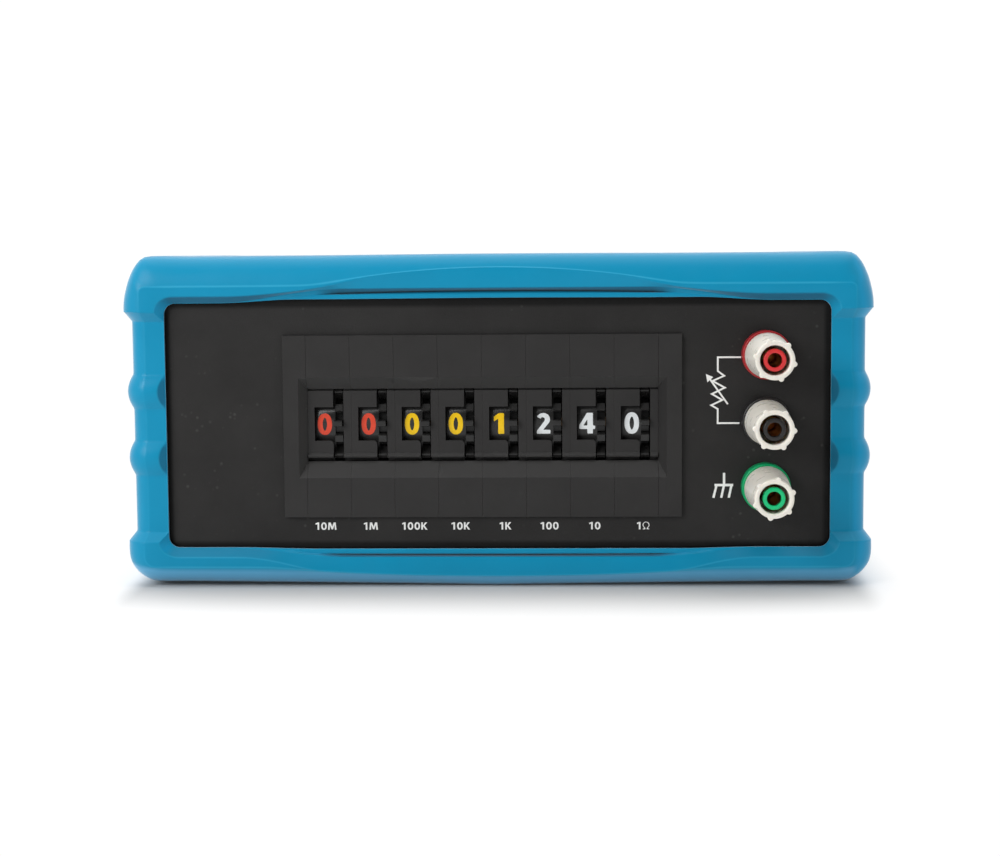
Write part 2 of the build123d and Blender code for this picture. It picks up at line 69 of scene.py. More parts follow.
def new_object(name, verts, faces, smooth=True, angle=None, tone=None):
    me = bpy.data.meshes.new(name)
    me.from_pydata([tuple(v) for v in verts], [], [tuple(f) for f in faces])
    me.update()
    if tone:
        att = me.color_attributes.new("tone", "FLOAT_COLOR", "POINT")
        att.data.foreach_set("color", [c for t in tone for c in (*t, 1.0)])
    bm = bmesh.new()
    bm.from_mesh(me)
    bmesh.ops.remove_doubles(bm, verts=bm.verts, dist=1e-7)
    bmesh.ops.dissolve_degenerate(bm, edges=bm.edges, dist=1e-7)
    bmesh.ops.recalc_face_normals(bm, faces=bm.faces)
    bm.to_mesh(me)
    bm.free()
    for p in me.polygons:
        p.use_smooth = smooth
    if angle is not None:
        me.set_sharp_from_angle(angle=math.radians(angle))
    ob = bpy.data.objects.new(name, me)
    bpy.context.scene.collection.objects.link(ob)
    return ob


# ------------------------------------------------------------------ materials
def material(name, base, rough=0.5, metal=0.0, spec=0.5, coat=0.0, coat_rough=0.1, sss=0.0, sss_r=(0.002, 0.0015, 0.001),
             grain=(1500, 0.15, 0.00004), grain2=None, var=(60, 0.06), rvar=(220, 0.08), wear=None, flecks=None, aniso=0.0,
             sheen=0.0, sheen_rough=0.3, stretch=None, painted_up_sheen=None, tone=None, painted_lip_shade=None, painted_groove_shade=None, painted_slope_light=None):
    m = bpy.data.materials.new(name)
    m.use_nodes = True
    nt = m.node_tree
    n, l = nt.nodes, nt.links
    bs = n["Principled BSDF"]
    bs.inputs["Metallic"].default_value = metal
    bs.inputs["Specular IOR Level"].default_value = spec
    bs.inputs["Coat Weight"].default_value = coat
    bs.inputs["Coat Roughness"].default_value = coat_rough
    bs.inputs["Anisotropic"].default_value = aniso
    bs.inputs["Sheen Weight"].default_value = sheen
    bs.inputs["Sheen Roughness"].default_value = sheen_rough
    if sss:
        bs.inputs["Subsurface Weight"].default_value = sss
        bs.inputs["Subsurface Radius"].default_value = (1.0, 0.75, 0.5)
        bs.inputs["Subsurface Scale"].default_value = sss_r[0]
    tc = n.new("ShaderNodeTexCoord")
    co = tc.outputs["Object"]
    if stretch:
        mp = n.new("ShaderNodeMapping")
        mp.inputs["Scale"].default_value = stretch
        l.new(co, mp.inputs["Vector"])
        co = mp.outputs["Vector"]

    def noise(scale, detail=3.0, rough_=0.55, dist=0.0, src=None):
        t = n.new("ShaderNodeTexNoise")
        t.inputs["Scale"].default_value = scale
        t.inputs["Detail"].default_value = detail
        t.inputs["Roughness"].default_value = rough_
        t.inputs["Distortion"].default_value = dist
        l.new(src or co, t.inputs["Vector"])
        return t.outputs["Fac"]

    def remap(src, a, b, lo, hi):
        r = n.new("ShaderNodeMapRange")
        r.inputs["From Min"].default_value, r.inputs["From Max"].default_value = a, b
        r.inputs["To Min"].default_value, r.inputs["To Max"].default_value = lo, hi
        l.new(src, r.inputs["Value"])
        return r.outputs["Result"]

    def mix(fac, a, b):
        x = n.new("ShaderNodeMix")
        x.data_type = "RGBA"
        l.new(fac, x.inputs["Factor"])
        for k, v in (("A", a), ("B", b)):
            s = [i for i in x.inputs if i.name == k and i.type == "RGBA"][0]
            if isinstance(v, tuple):
                s.default_value = (*v, 1.0)
            else:
                l.new(v, s)
        return [o for o in x.outputs if o.type == "RGBA"][0]

    s, a = var
    dark = tuple(c * (1 - a) for c in base)
    light = tuple(min(1.0, c * (1 + a) + a * 0.01) for c in base)
    col = mix(remap(noise(s, 4.0, 0.6), 0.3, 0.7, 0.0, 1.0), dark, light)
    if flecks:
        fs, amount, fcol = flecks
        v = n.new("ShaderNodeTexVoronoi")
        v.inputs["Scale"].default_value = fs
        v.inputs["Randomness"].default_value = 1.0
        l.new(co, v.inputs["Vector"])
        spot = remap(v.outputs["Distance"], 0.10, 0.24, 1.0, 0.0)
        rare = remap(noise(fs * 0.37, 2.0), 0.56, 0.66, 0.0, amount)
        mul = n.new("ShaderNodeMath")
        mul.operation = "MULTIPLY"
        l.new(spot, mul.inputs[0])
        l.new(rare, mul.inputs[1])
        col = mix(mul.outputs[0], col, fcol)
    if wear:
        amount, wcol, lo, hi = wear
        g = n.new("ShaderNodeNewGeometry")
        edge = remap(g.outputs["Pointiness"], lo, hi, 0.0, amount)
        broken = remap(noise(320, 4.0, 0.65), 0.35, 0.7, 0.25, 1.0)
        mul = n.new("ShaderNodeMath")
        mul.operation = "MULTIPLY"
        l.new(edge, mul.inputs[0])
        l.new(broken, mul.inputs[1])
        col = mix(mul.outputs[0], col, wcol)
    if painted_up_sheen:
        # painted sheen: faces that look upward are mixed a little towards a greyer colour
        amount, up_sheen_col = painted_up_sheen
        g = n.new("ShaderNodeNewGeometry")
        sp = n.new("ShaderNodeSeparateXYZ")
        l.new(g.outputs["Normal"], sp.inputs[0])
        up = remap(sp.outputs["Z"], 0.2, 1.0, 0.0, amount)
        col = mix(up, col, up_sheen_col)
    if painted_slope_light:
        # painted light: faces that slope upward, downward (below ztop) or to the right are painted paler than the flat
        # ones, standing in for the light they catch
        up_col, down_col, side_col, ztop = painted_slope_light
        g = n.new("ShaderNodeNewGeometry")
        sp = n.new("ShaderNodeSeparateXYZ")
        l.new(g.outputs["Normal"], sp.inputs[0])

        def tilt(src, sign):
            rise = remap(src, 0.25 * sign, 0.45 * sign, 0.0, 1.0)
            fall = remap(src, 0.90 * sign, 0.97 * sign, 1.0, 0.0)
            mul = n.new("ShaderNodeMath")
            mul.operation = "MULTIPLY"
            l.new(rise, mul.inputs[0])
            l.new(fall, mul.inputs[1])
            return mul.outputs[0]

        col = mix(tilt(sp.outputs["Z"], 1.0), col, up_col)
        hgt = n.new("ShaderNodeSeparateXYZ")
        l.new(co, hgt.inputs[0])
        below = n.new("ShaderNodeMath")
        below.operation = "MULTIPLY"
        l.new(tilt(sp.outputs["Z"], -1.0), below.inputs[0])
        l.new(remap(hgt.outputs["Z"], ztop, ztop + 0.002, 1.0, 0.0), below.inputs[1])
        col = mix(below.outputs[0], col, down_col)
        col = mix(tilt(sp.outputs["X"], 1.0), col, side_col)
    if painted_lip_shade:
        # painted shade: the plate is darkened near its edges, where the lip of the boot shades it
        cx, cz, hx, hz, w0, w1, lip_shade_col = painted_lip_shade
        away = n.new("ShaderNodeVectorMath")
        away.operation = "SUBTRACT"
        away.inputs[1].default_value = (cx, 0.0, cz)
        l.new(co, away.inputs[0])
        flat = n.new("ShaderNodeVectorMath")
        flat.operation = "ABSOLUTE"
        l.new(away.outputs["Vector"], flat.inputs[0])
        edge = n.new("ShaderNodeVectorMath")
        edge.operation = "SUBTRACT"
        edge.inputs[1].default_value = (hx, 0.0, hz)
        l.new(flat.outputs["Vector"], edge.inputs[0])
        parts = n.new("ShaderNodeSeparateXYZ")
        l.new(edge.outputs["Vector"], parts.inputs[0])
        far = n.new("ShaderNodeMath")
        far.operation = "SMOOTH_MAX"
        far.inputs[2].default_value = 0.0012
        l.new(parts.outputs["X"], far.inputs[0])
        l.new(parts.outputs["Z"], far.inputs[1])
        col = mix(remap(far.outputs[0], w0, w1, 0.0, 1.0), col, lip_shade_col)
    if painted_groove_shade:
        # painted shade: the wheel is darkened at the smaller radii, in the grooves, where shade falls
        cy, cz, r0, r1, groove_shade_col = painted_groove_shade
        away = n.new("ShaderNodeVectorMath")
        away.operation = "SUBTRACT"
        away.inputs[1].default_value = (0.0, cy, cz)
        l.new(co, away.inputs[0])
        flat = n.new("ShaderNodeVectorMath")
        flat.operation = "MULTIPLY"
        flat.inputs[1].default_value = (0.0, 1.0, 1.0)
        l.new(away.outputs["Vector"], flat.inputs[0])
        far = n.new("ShaderNodeVectorMath")
        far.operation = "LENGTH"
        l.new(flat.outputs["Vector"], far.inputs[0])
        col = mix(remap(far.outputs["Value"], r0, r1, 1.0, 0.0), col, groove_shade_col)
    if tone:
        # painted highlight along the creases, and painted shade in the slit, on the lip's inner wall and on the inner
        # facets
        at = n.new("ShaderNodeAttribute")
        at.attribute_type = "GEOMETRY"
        at.attribute_name = "tone"
        sc = n.new("ShaderNodeSeparateColor")
        l.new(at.outputs["Color"], sc.inputs["Color"])
        crease, inner, deep = tone
        col = mix(sc.outputs["Red"], col, crease)
        col = mix(sc.outputs["Blue"], col, inner)
        col = mix(sc.outputs["Green"], col, deep)
    l.new(col, bs.inputs["Base Color"])
    rs, ra = rvar
    l.new(remap(noise(rs, 3.0), 0.3, 0.7, max(0.02, rough - ra), min(1.0, rough + ra)), bs.inputs["Roughness"])
    gs, gstr, gd = grain
    h = noise(gs, 3.0, 0.6)
    if grain2:
        h2 = noise(grain2[0], 2.0, 0.5)
        ad = n.new("ShaderNodeMath")
        ad.operation = "MULTIPLY_ADD"
        ad.inputs[1].default_value = grain2[1]
        l.new(h2, ad.inputs[0])
        l.new(h, ad.inputs[2])
        h = ad.outputs[0]
    bu = n.new("ShaderNodeBump")
    bu.inputs["Strength"].default_value = gstr
    bu.inputs["Distance"].default_value = gd
    l.new(h, bu.inputs["Height"])
    l.new(bu.outputs["Normal"], bs.inputs["Normal"])
    return m


MAT = {
    # boot_rubber: painted sheen on upward faces, painted light on sloping faces, painted crease highlights, and painted
    # shade in the slit and on the inner facets
    "boot": material("boot_rubber", (0.0, 0.245, 0.43), rough=0.36, spec=0.16, sheen=0.46, sheen_rough=0.42, grain=(2600, 0.20, 0.00005), grain2=(420, 0.6),
                     var=(35, 0.04), rvar=(150, 0.05), painted_up_sheen=(0.03, (0.45, 0.20, 0.18)),
                     painted_slope_light=((0.0, 0.245, 0.43), (0.10, 0.37, 0.60), (0.0, 0.29, 0.53), 0.006), tone=((0.02, 0.32, 0.52), (0.0, 0.060, 0.125), (0.0, 0.004, 0.008))),
    "case": material("case_plastic", (0.022, 0.022, 0.024), rough=0.55, spec=0.25, grain=(2200, 0.5, 0.00008)),
    # panel_black: painted shade along the plate's edges, under the lip of the boot
    "panel": material("panel_black", (0.0180, 0.0172, 0.0168), rough=0.48, spec=0.20, grain=(1900, 0.55, 0.00010), grain2=(500, 0.5),
                      var=(45, 0.14), rvar=(160, 0.09), flecks=(420, 0.45, (0.060, 0.060, 0.056)),
                      painted_lip_shade=(0.0, 0.0470, 0.0957, 0.0355, -0.0019, -0.0008, (0.0022, 0.0021, 0.0020))),
    # switch_plastic: faces sloping up, down or to the right are painted paler, standing in for the light they catch
    "switch": material("switch_plastic", (0.0225, 0.0215, 0.0212), rough=0.44, spec=0.24, grain=(2600, 0.22, 0.00004),
                       painted_slope_light=((0.033, 0.032, 0.0315), (0.040, 0.039, 0.038), (0.046, 0.045, 0.044), 1.0),
                       var=(70, 0.09), rvar=(180, 0.07), flecks=(300, 0.12, (0.05, 0.05, 0.05))),
    # wheel_plastic: painted shade in the grooves at the smaller radii
    "wheel": material("wheel_plastic", (0.0165, 0.0160, 0.0156), rough=0.30, spec=0.36, grain=(2400, 0.2, 0.00004), var=(120, 0.12), rvar=(260, 0.08),
                      painted_groove_shade=(-0.0246, 0.0469, 0.0126, 0.0135, (0.0022, 0.0021, 0.0020))),
    "ivory": material("ivory_plastic", (0.79, 0.755, 0.68), rough=0.30, spec=0.45, sss=0.10, grain=(1400, 0.10, 0.00002),
                      var=(180, 0.02), rvar=(300, 0.05)),
    "red": material("red_plastic", (0.62, 0.028, 0.030), rough=0.30, spec=0.40, grain=(1600, 0.12, 0.00003), var=(200, 0.06), rvar=(300, 0.06)),
    "red_dark": material("red_plastic_dark", (0.36, 0.018, 0.022), rough=0.36, spec=0.30, grain=(1600, 0.12, 0.00003), var=(200, 0.06), rvar=(300, 0.06)),
    "black": material("black_plastic", (0.016, 0.015, 0.015), rough=0.30, spec=0.40, grain=(1600, 0.12, 0.00003), var=(200, 0.1), rvar=(300, 0.06)),
    "green": material("green_plastic", (0.0, 0.50, 0.18), rough=0.30, spec=0.40, grain=(1600, 0.12, 0.00003), var=(200, 0.06), rvar=(300, 0.06)),
    "green_dark": material("green_plastic_dark", (0.0, 0.33, 0.115), rough=0.36, spec=0.30, grain=(1600, 0.12, 0.00003), var=(200, 0.06), rvar=(300, 0.06)),
    "brass": material("brass_turned", (0.55, 0.32, 0.12), rough=0.33, metal=1.0, grain=(1200, 0.2, 0.00003), stretch=(0.15, 6.0, 0.15), var=(300, 0.12), rvar=(500, 0.08)),
    "plated": material("nickel_plated", (0.62, 0.60, 0.56), rough=0.24, metal=1.0, grain=(900, 0.15, 0.00003), var=(200, 0.05), rvar=(300, 0.07)),
    "steel": material("zinc_steel", (0.56, 0.57, 0.58), rough=0.33, metal=1.0, grain=(1500, 0.25, 0.00004), var=(160, 0.08), rvar=(260, 0.09)),
    "bronze": material("spring_bronze", (0.15, 0.10, 0.06), rough=0.30, metal=1.0, grain=(1500, 0.2, 0.00003), var=(160, 0.10), rvar=(260, 0.09)),
    "spring": material("spring_steel", (0.48, 0.48, 0.49), rough=0.30, metal=1.0, grain=(1500, 0.2, 0.00003), var=(160, 0.08), rvar=(260, 0.09)),
    "board": material("circuit_laminate", (0.018, 0.13, 0.055), rough=0.35, spec=0.4, grain=(1800, 0.2, 0.00004), var=(500, 0.16), rvar=(260, 0.07)),
    "lacquer": material("resistor_lacquer", (0.13, 0.36, 0.58), rough=0.28, spec=0.5, grain=(1800, 0.15, 0.00003), var=(300, 0.08), rvar=(260, 0.07)),
    "tinned": material("tinned_copper", (0.60, 0.59, 0.55), rough=0.36, metal=1.0, grain=(1300, 0.25, 0.00004), var=(260, 0.09), rvar=(260, 0.09)),
    "wire_red": material("wire_red", (0.50, 0.02, 0.02), rough=0.42, grain=(1600, 0.2, 0.00004), var=(160, 0.08), rvar=(260, 0.07)),
    "wire_black": material("wire_black", (0.02, 0.02, 0.02), rough=0.42, grain=(1600, 0.2, 0.00004), var=(160, 0.12), rvar=(260, 0.07)),
    "wire_green": material("wire_green", (0.02, 0.26, 0.06), rough=0.42, grain=(1600, 0.2, 0.00004), var=(160, 0.10), rvar=(260, 0.07)),
    "print": material("print_white", (0.80, 0.80, 0.78), rough=0.45, spec=0.3, grain=(2600, 0.3, 0.00003), var=(900, 0.04), rvar=(500, 0.06)),
    "fig_white": material("figure_white", (0.76, 0.79, 0.80), rough=0.40, spec=0.3, grain=(2200, 0.25, 0.00003), var=(700, 0.04), rvar=(500, 0.06)),
    "fig_yellow": material("figure_yellow", (0.87, 0.55, 0.005), rough=0.40, spec=0.3, grain=(2200, 0.25, 0.00003), var=(700, 0.04), rvar=(500, 0.06)),
    "fig_red": material("figure_red", (0.68, 0.062, 0.028), rough=0.40, spec=0.3, grain=(2200, 0.25, 0.00003), var=(700, 0.06), rvar=(500, 0.06)),
}


def paint(ob, key):
    ob.data.materials.clear()
    ob.data.materials.append(MAT[key])
    return ob


# --------------------------------------------------------------------- camera
def make_camera():
    cam = bpy.data.cameras.new("camera")
    cam.sensor_fit = "HORIZONTAL"
    cam.sensor_width = 36.0
    cam.lens = 72.09
    cam.clip_start, cam.clip_end = 0.02, 20
    ob = bpy.data.objects.new("camera", cam)
    bpy.context.scene.collection.objects.link(ob)
    yaw, pitch, roll = (math.radians(v) for v in (2.336, 5.632, -0.448))
    fwd = Vector((-math.sin(yaw) * math.cos(pitch), math.cos(yaw) * math.cos(pitch), -math.sin(pitch)))
    right0 = Vector((math.cos(yaw), math.sin(yaw), 0))
    up0 = right0.cross(fwd)
    right = math.cos(roll) * right0 + math.sin(roll) * up0
    up = -math.sin(roll) * right0 + math.cos(roll) * up0
    m = Matrix((right, up, -fwd)).transposed().to_4x4()
    m.translation = Vector((0.02473, -0.61670, 0.10271))
    ob.matrix_world = m
    bpy.context.scene.camera = ob


make_camera()


# ----------------------------------------------------------------- rubber boot
def lerp(a, b, t):
    return a + (b - a) * t


def sstep(t):
    t = max(0.0, min(1.0, t))
    return t * t * (3 - 2 * t)


def soft_pos(q, e):
    return 0.5 * (q + math.sqrt(q * q + e * e))


def soft_clamp(t, e):
    """0 below 0, 1 above 1, with corners rounded over e."""
    return soft_pos(t, e) - soft_pos(t - 1.0, e)


F_OUT, F_STRIP, LIP_IN = -4.5, -2.0, -1.2      # front levels of bumpers, side strips and the lip's inner face
R_MIRROR = 107.0                               # d at the back is this less d at the front
BASE_PHI = math.radians(20)


def top_z(x):
    """The upper edge is almost straight, with a slight rise in the middle and at the corners."""
    ax = abs(x)
    return 96.0 + 0.18 * max(0.0, 1 - (ax / 50.0) ** 2) + 0.18 * sstep((ax - 88) / 8.0)


def low_z(x):
    """The lower front edge stands off the ground towards the corners."""
    return 0.12 + 1.08 * min(1.0, abs(x) / 88.0) ** 0.8


def arch_top(x):
    return soft_pos(1 - (x / 52.0) ** 2, 0.15)


def arch_bot(x):
    return soft_pos(1 - abs(x / 65.0) ** 2.3, 0.12)


def top_station(x, low=False):
    """Control positions for a station across the top rail at x, or the bottom rail if low."""
    ax = abs(x)
    g1 = sstep((76 - ax) / 32.0)
    g2 = sstep((66 - ax) / 16.0)
    gap = max(0.0, 1 - (x / 52.0) ** 2)
    if not low:
        w = 82.5 + 0.95 * sstep((80 - ax) / 22.0) + 0.15 * sstep((50 - ax) / 50.0)
        w2 = w + 0.02 + g2 * (84.72 - w)
        g = w2 + 0.02 + 0.90 * gap
        pin = w + 0.06 + g1 * (86.4 - w)
        h0 = 87.4
        h = h0 + 4.93 * arch_top(x)
        c = lerp(84.45, h, sstep((78 - ax) / 44.0))
        c = min(c, h - 0.03)
        o, cav, wr, cr = top_z(x), 90.8, 82.0, 84.6
        D = 6.6
    else:
        w = 11.5 - 0.45 * sstep((76 - ax) / 24.0)
        w2 = w - 0.02 - g2 * (w - 9.66)
        g = w2 - 0.02 - 0.45 * gap
        pin = w - 0.06 - g1 * (w - 9.02)
        h0 = 6.05
        h = h0 - 2.73 * arch_bot(x)
        c = lerp(8.97, h, sstep((75 - ax) / 25.0))
        c = max(c, h + 0.03)
        o, cav, wr, cr = low_z(x), 5.6, 14.5, 11.9
        D = 5.4
    cr2 = lerp(cr, h, sstep((78 - ax) / 44.0))
    cr2 = min(cr2, h - 0.03) if not low else max(cr2, h + 0.03)
    pin_d = lerp(F_STRIP, -3.2, g1)
    gap_d = F_STRIP + 0.72 * min(1.0, gap / 0.25) * (1 if g2 > 0.5 else 0)
    X = lambda z: (x, z)
    return dict(low=low, slit=min(1.0, gap / 0.22) * (1.0 if g2 > 0.5 else 0.0), scoop=g1, w=X(w), w2=X(w2), g=X(g), pin=X(pin), c=X(c), h=X(h), h0=X(h0), o=X(o), cav=X(cav), wr=X(wr), cr=X(cr2), hr=X(h),
                ds=F_STRIP, dg=gap_d, dp=pin_d, df=F_OUT, D=D)


def ray_hit(c, ang, poly):
    """Where the ray from c at that angle leaves an open contour given as points."""
    dx, dz = math.cos(ang), math.sin(ang)
    best = None
    for (x0, z0), (x1, z1) in zip(poly, poly[1:]):
        ex, ez = x1 - x0, z1 - z0
        den = dx * ez - dz * ex
        if abs(den) < 1e-12:
            continue
        t = ((x0 - c[0]) * ez - (z0 - c[1]) * ex) / den
        s = ((x0 - c[0]) * dz - (z0 - c[1]) * dx) / den
        if t > 0 and -1e-6 <= s <= 1 + 1e-6 and (best is None or t < best):
            best = t
    return (c[0] + best * dx, c[1] + best * dz)


def smooth_line(pts, per=8):
    """Catmull-Rom line through the points."""
    out = []
    q = [pts[0]] + list(pts) + [pts[-1]]
    for i in range(1, len(q) - 2):
        for k in range(per):
            t = k / per
            out.append(tuple(0.5 * (2 * q[i][j] + (q[i + 1][j] - q[i - 1][j]) * t + (2 * q[i - 1][j] - 5 * q[i][j] + 4 * q[i + 1][j] - q[i + 2][j]) * t * t
                                    + (3 * q[i][j] - q[i - 1][j] - 3 * q[i + 1][j] + q[i + 2][j]) * t ** 3) for j in (0, 1)))
    out.append(pts[-1])
    return out


OUT_TOP = smooth_line([(92.8, top_z(92.8)), (96.4, 96.18), (99.4, 96.16), (101.3, 95.95), (102.6, 95.4), (103.8, 94.2), (104.9, 92.6), (105.8, 90.7), (106.6, 88.6),
                       (107.25, 86.2), (107.7, 84.0), (107.92, 81.8), (107.95, 79.0)])
OUT_BOT = smooth_line([(92.8, low_z(92.8)), (96.6, 1.2), (99.8, 1.3), (101.9, 1.75), (103.4, 2.6), (104.9, 3.7), (105.95, 4.85), (106.85, 6.1), (107.45, 7.3),
                       (107.75, 8.5), (107.92, 9.9), (107.95, 11.6), (107.9, 13.3), (107.9, 14.6)])


def corner_poly(x1, z1, r, x0, z0, up):
    """Contour from (x0, z1) across to (x1, z1) and on to (x1, z0), its corner rounded by r."""
    s = 1 if up else -1
    pts = [(x0, z1), (x1 - r, z1)]
    for k in range(1, 7):
        a = math.radians(90 - 15 * k)
        pts.append((x1 - r + r * math.cos(a), z1 - s * r + s * r * math.sin(a)))
    pts.append((x1, z0))
    return pts


H_TOP = corner_poly(102.5, 87.4, 1.6, 92.0, 79.0, True)
H_BOT = corner_poly(102.5, 6.05, 3.0, 92.0, 14.6, False)
CAV_TOP = corner_poly(101.6, 90.8, 4.1, 92.0, 79.0, True)
CAV_BOT = corner_poly(101.6, 5.6, 4.1, 92.0, 14.6, False)
C_END_T, C_END_B = 79.9, 13.3      # where the bumpers' front faces end
FAN = (84, 78, 72, 66, 60, 55, 51, 48, 45.5, 43, 40.9, 38.8, 36.6, 34.4, 32, 29, 26, 22.5, 18.5, 14, 9.5, 5, 2, 0)


def corner_station(deg, low=False):
    t = math.radians(deg)
    s = -1 if low else 1
    zc = 14.7 if low else 79.3          # centre of the window's corner
    fc = (92.5, C_END_B if low else C_END_T + 0.2)
    w = (92.5 + 3.2 * math.cos(t), zc + s * 3.2 * math.sin(t))
    eps = lambda e: (92.5 + (3.2 + e) * math.cos(t), zc + s * (3.2 + e) * math.sin(t))
    cz = fc[1]
    rz = (cz - 8.97) if low else (84.45 - cz)
    c = (92.5 + 5.6 * math.cos(t), cz + s * rz * math.sin(t))
    h = ray_hit(fc, s * t, H_BOT if low else H_TOP)
    o = ray_hit(fc, s * t, OUT_BOT if low else OUT_TOP)
    cav = ray_hit(fc, s * t, CAV_BOT if low else CAV_TOP)
    wz = 18.5 if low else 78.0
    wr = (88.0 + 4.0 * math.cos(t), wz + s * 4.0 * math.sin(t))
    crz = (cz - 11.9) if low else (84.6 - cz)
    cr = (88.0 + 6.6 * math.cos(t), cz + s * crz * math.sin(t))
    side = sstep(1 - deg / 90.0)
    D = lerp(5.4 if low else 6.6, 5.6, side)
    return dict(low=low, side=side, w=w, w2=eps(.02), g=eps(.04), pin=eps(.06), c=c, h=h, h0=h, o=o, cav=cav, wr=wr, cr=cr, hr=h, ds=F_STRIP, dg=F_STRIP, dp=F_STRIP, df=F_OUT, D=D)


def rib_height(z):
    """Round-backed grip ribs, their feet eased into the side."""
    best = 0.0
    for zc in (37.6, 56.9):
        u = (z - zc) / 5.0
        q = 1 - u * u
        best = max(best, 1.58 * (soft_pos(q, 0.10) if abs(u) < 1.35 else 0.0) * (1.0 if abs(u) < 1.2 else max(0.0, (1.35 - abs(u)) / 0.15)))
    return best


def side_station(z, bump, zs=None):
    """Station down the side at height z. bump is 1 on a bumper and 0 on the strip between; zs gives heights that differ by contour."""
    zw, zcc, zh, zo = zs or (z, z, z, z)
    r = rib_height(z) if bump < 0.01 else 0.0
    df = lerp(F_STRIP - r, F_OUT, bump)
    c = lerp(95.78 + 1.3 * r, 98.1, bump)
    h = lerp(101.5 + 0.25 * r, 102.5, bump)
    o = lerp(105.85 + r, 107.95, bump)
    cr = lerp(92.08 + 1.02 * r, 94.6, bump)
    hr = h
    D = lerp(4.6 + r * 0.6, 5.6, bump)
    return dict(rib=r, side=1, w=(95.7, zw), w2=(95.72, zw), g=(95.74, zw), pin=(95.76, zw), c=(c, zcc), h=(h, zh), h0=(h, zh), o=(o, zo), cav=(101.6, zh),
                wr=(92.0, zw), cr=(cr, zcc), hr=(hr, zh), ds=F_STRIP, dg=F_STRIP, dp=F_STRIP, df=df, D=D)


def right_half():
    """Stations from the top middle down the right-hand side to the bottom middle."""
    st = []
    xs = [0, 4, 8, 12, 16, 20, 24, 28, 31, 34, 37, 40, 42.5, 45, 47, 49, 50.5, 52, 53.5, 55, 57, 59, 61, 63, 65, 67, 69, 71, 73, 75, 77, 79, 81, 83, 86, 89]
    st += [top_station(x) for x in xs]
    st.append(top_station(92.8))
    st += [corner_station(a) for a in FAN]
    # bumper end: front face level falls to the strip's over 45 degrees
    for t in (0.06, 0.12, 0.2, 0.35, 0.5, 0.65, 0.8, 0.88, 0.94, 1.0, 1.08, 1.2):
        b = 1 - soft_clamp(t, 0.035)
        q = min(1.0, t)
        st.append(side_station(78.0, b if b > 1e-3 else 0.0, (79.3 - 2.1 * t, 79.9 - 2.7 * t, 80.1 - 2.9 * t, 80.3 - 3.0 * t)))
    z = 75.6
    zs = []
    while z > 17.6:
        near = min(abs(z - 37.6), abs(z - 56.9))
        zs.append(z)
        z -= 0.36 if near < 6.9 else 1.2
    st += [side_station(zz, 0.0) for zz in zs]
    for t in (1.2, 1.08, 1.0, 0.94, 0.88, 0.8, 0.65, 0.5, 0.35, 0.2, 0.12, 0.06):
        b = 1 - soft_clamp(t, 0.035)
        st.append(side_station(16.0, b if b > 1e-3 else 0.0, (14.7 + 1.6 * t, 13.3 + 2.7 * t, 13.3 + 2.8 * t, 13.3 + 2.8 * t)))
    st += [corner_station(a, True) for a in reversed(FAN)]
    st.append(top_station(92.8, True))
    st += [top_station(x, True) for x in reversed(xs)]
    return st


def rounded(points, radii, n=3, marks=None):
    """The polyline with each inner corner replaced by n + 1 points of a small curve. marks gives each corner's (painted
    crease highlight, painted shade of the slit and lip wall, painted facet shade before, painted facet shade after),
    and comes back as a tone for each point."""
    out = [points[0]]
    tone = []
    for i, m in enumerate(marks or [(0, 0, 0, 0)] * len(points)):
        k = 1 if i in (0, len(points) - 1) or radii[i] <= 0 else n + 1
        for j in range(k):
            t = j / (k - 1) if k > 1 else 0.5
            tone.append((m[0] * (1 - abs(2 * t - 1) ** 3), m[1], lerp(m[2], m[3], t)))
    for i in range(1, len(points) - 1):
        p, a, b = points[i], points[i - 1], points[i + 1]
        r = radii[i]
        if r <= 0:
            out.append(p)
            continue
        la, lb = (a - p).length, (b - p).length
        ea = p + (a - p) * (min(r, 0.45 * la) / la if la > 1e-9 else 0)
        eb = p + (b - p) * (min(r, 0.45 * lb) / lb if lb > 1e-9 else 0)
        for k in range(n + 1):
            t = k / n
            out.append(ea * (1 - t) ** 2 + p * (2 * t * (1 - t)) + eb * t * t)
    out.append(points[-1])
    return (out, tone) if marks else out


def arc_points(h0, h, o, dF, D, n=9):
    """Rounded outer edge, from the crease at h to where the side or top begins. Returns [(position on h0-o, d)]."""
    L = math.hypot(o[0] - h0[0], o[1] - h0[1])
    s0 = math.sin(BASE_PHI)
    part = math.hypot(h[0] - h0[0], h[1] - h0[1]) / L if L > 1e-9 else 0.0
    phi0 = math.asin(min(0.999, s0 + part * (1 - s0)))
    b = D / math.cos(BASE_PHI)
    out = []
    for k in range(n + 1):
        phi = lerp(phi0, math.pi / 2, (k / n) ** 1.0)
        tau = (math.sin(phi) - s0) / (1 - s0)
        out.append((tau, dF + D - b * math.cos(phi)))
    return out


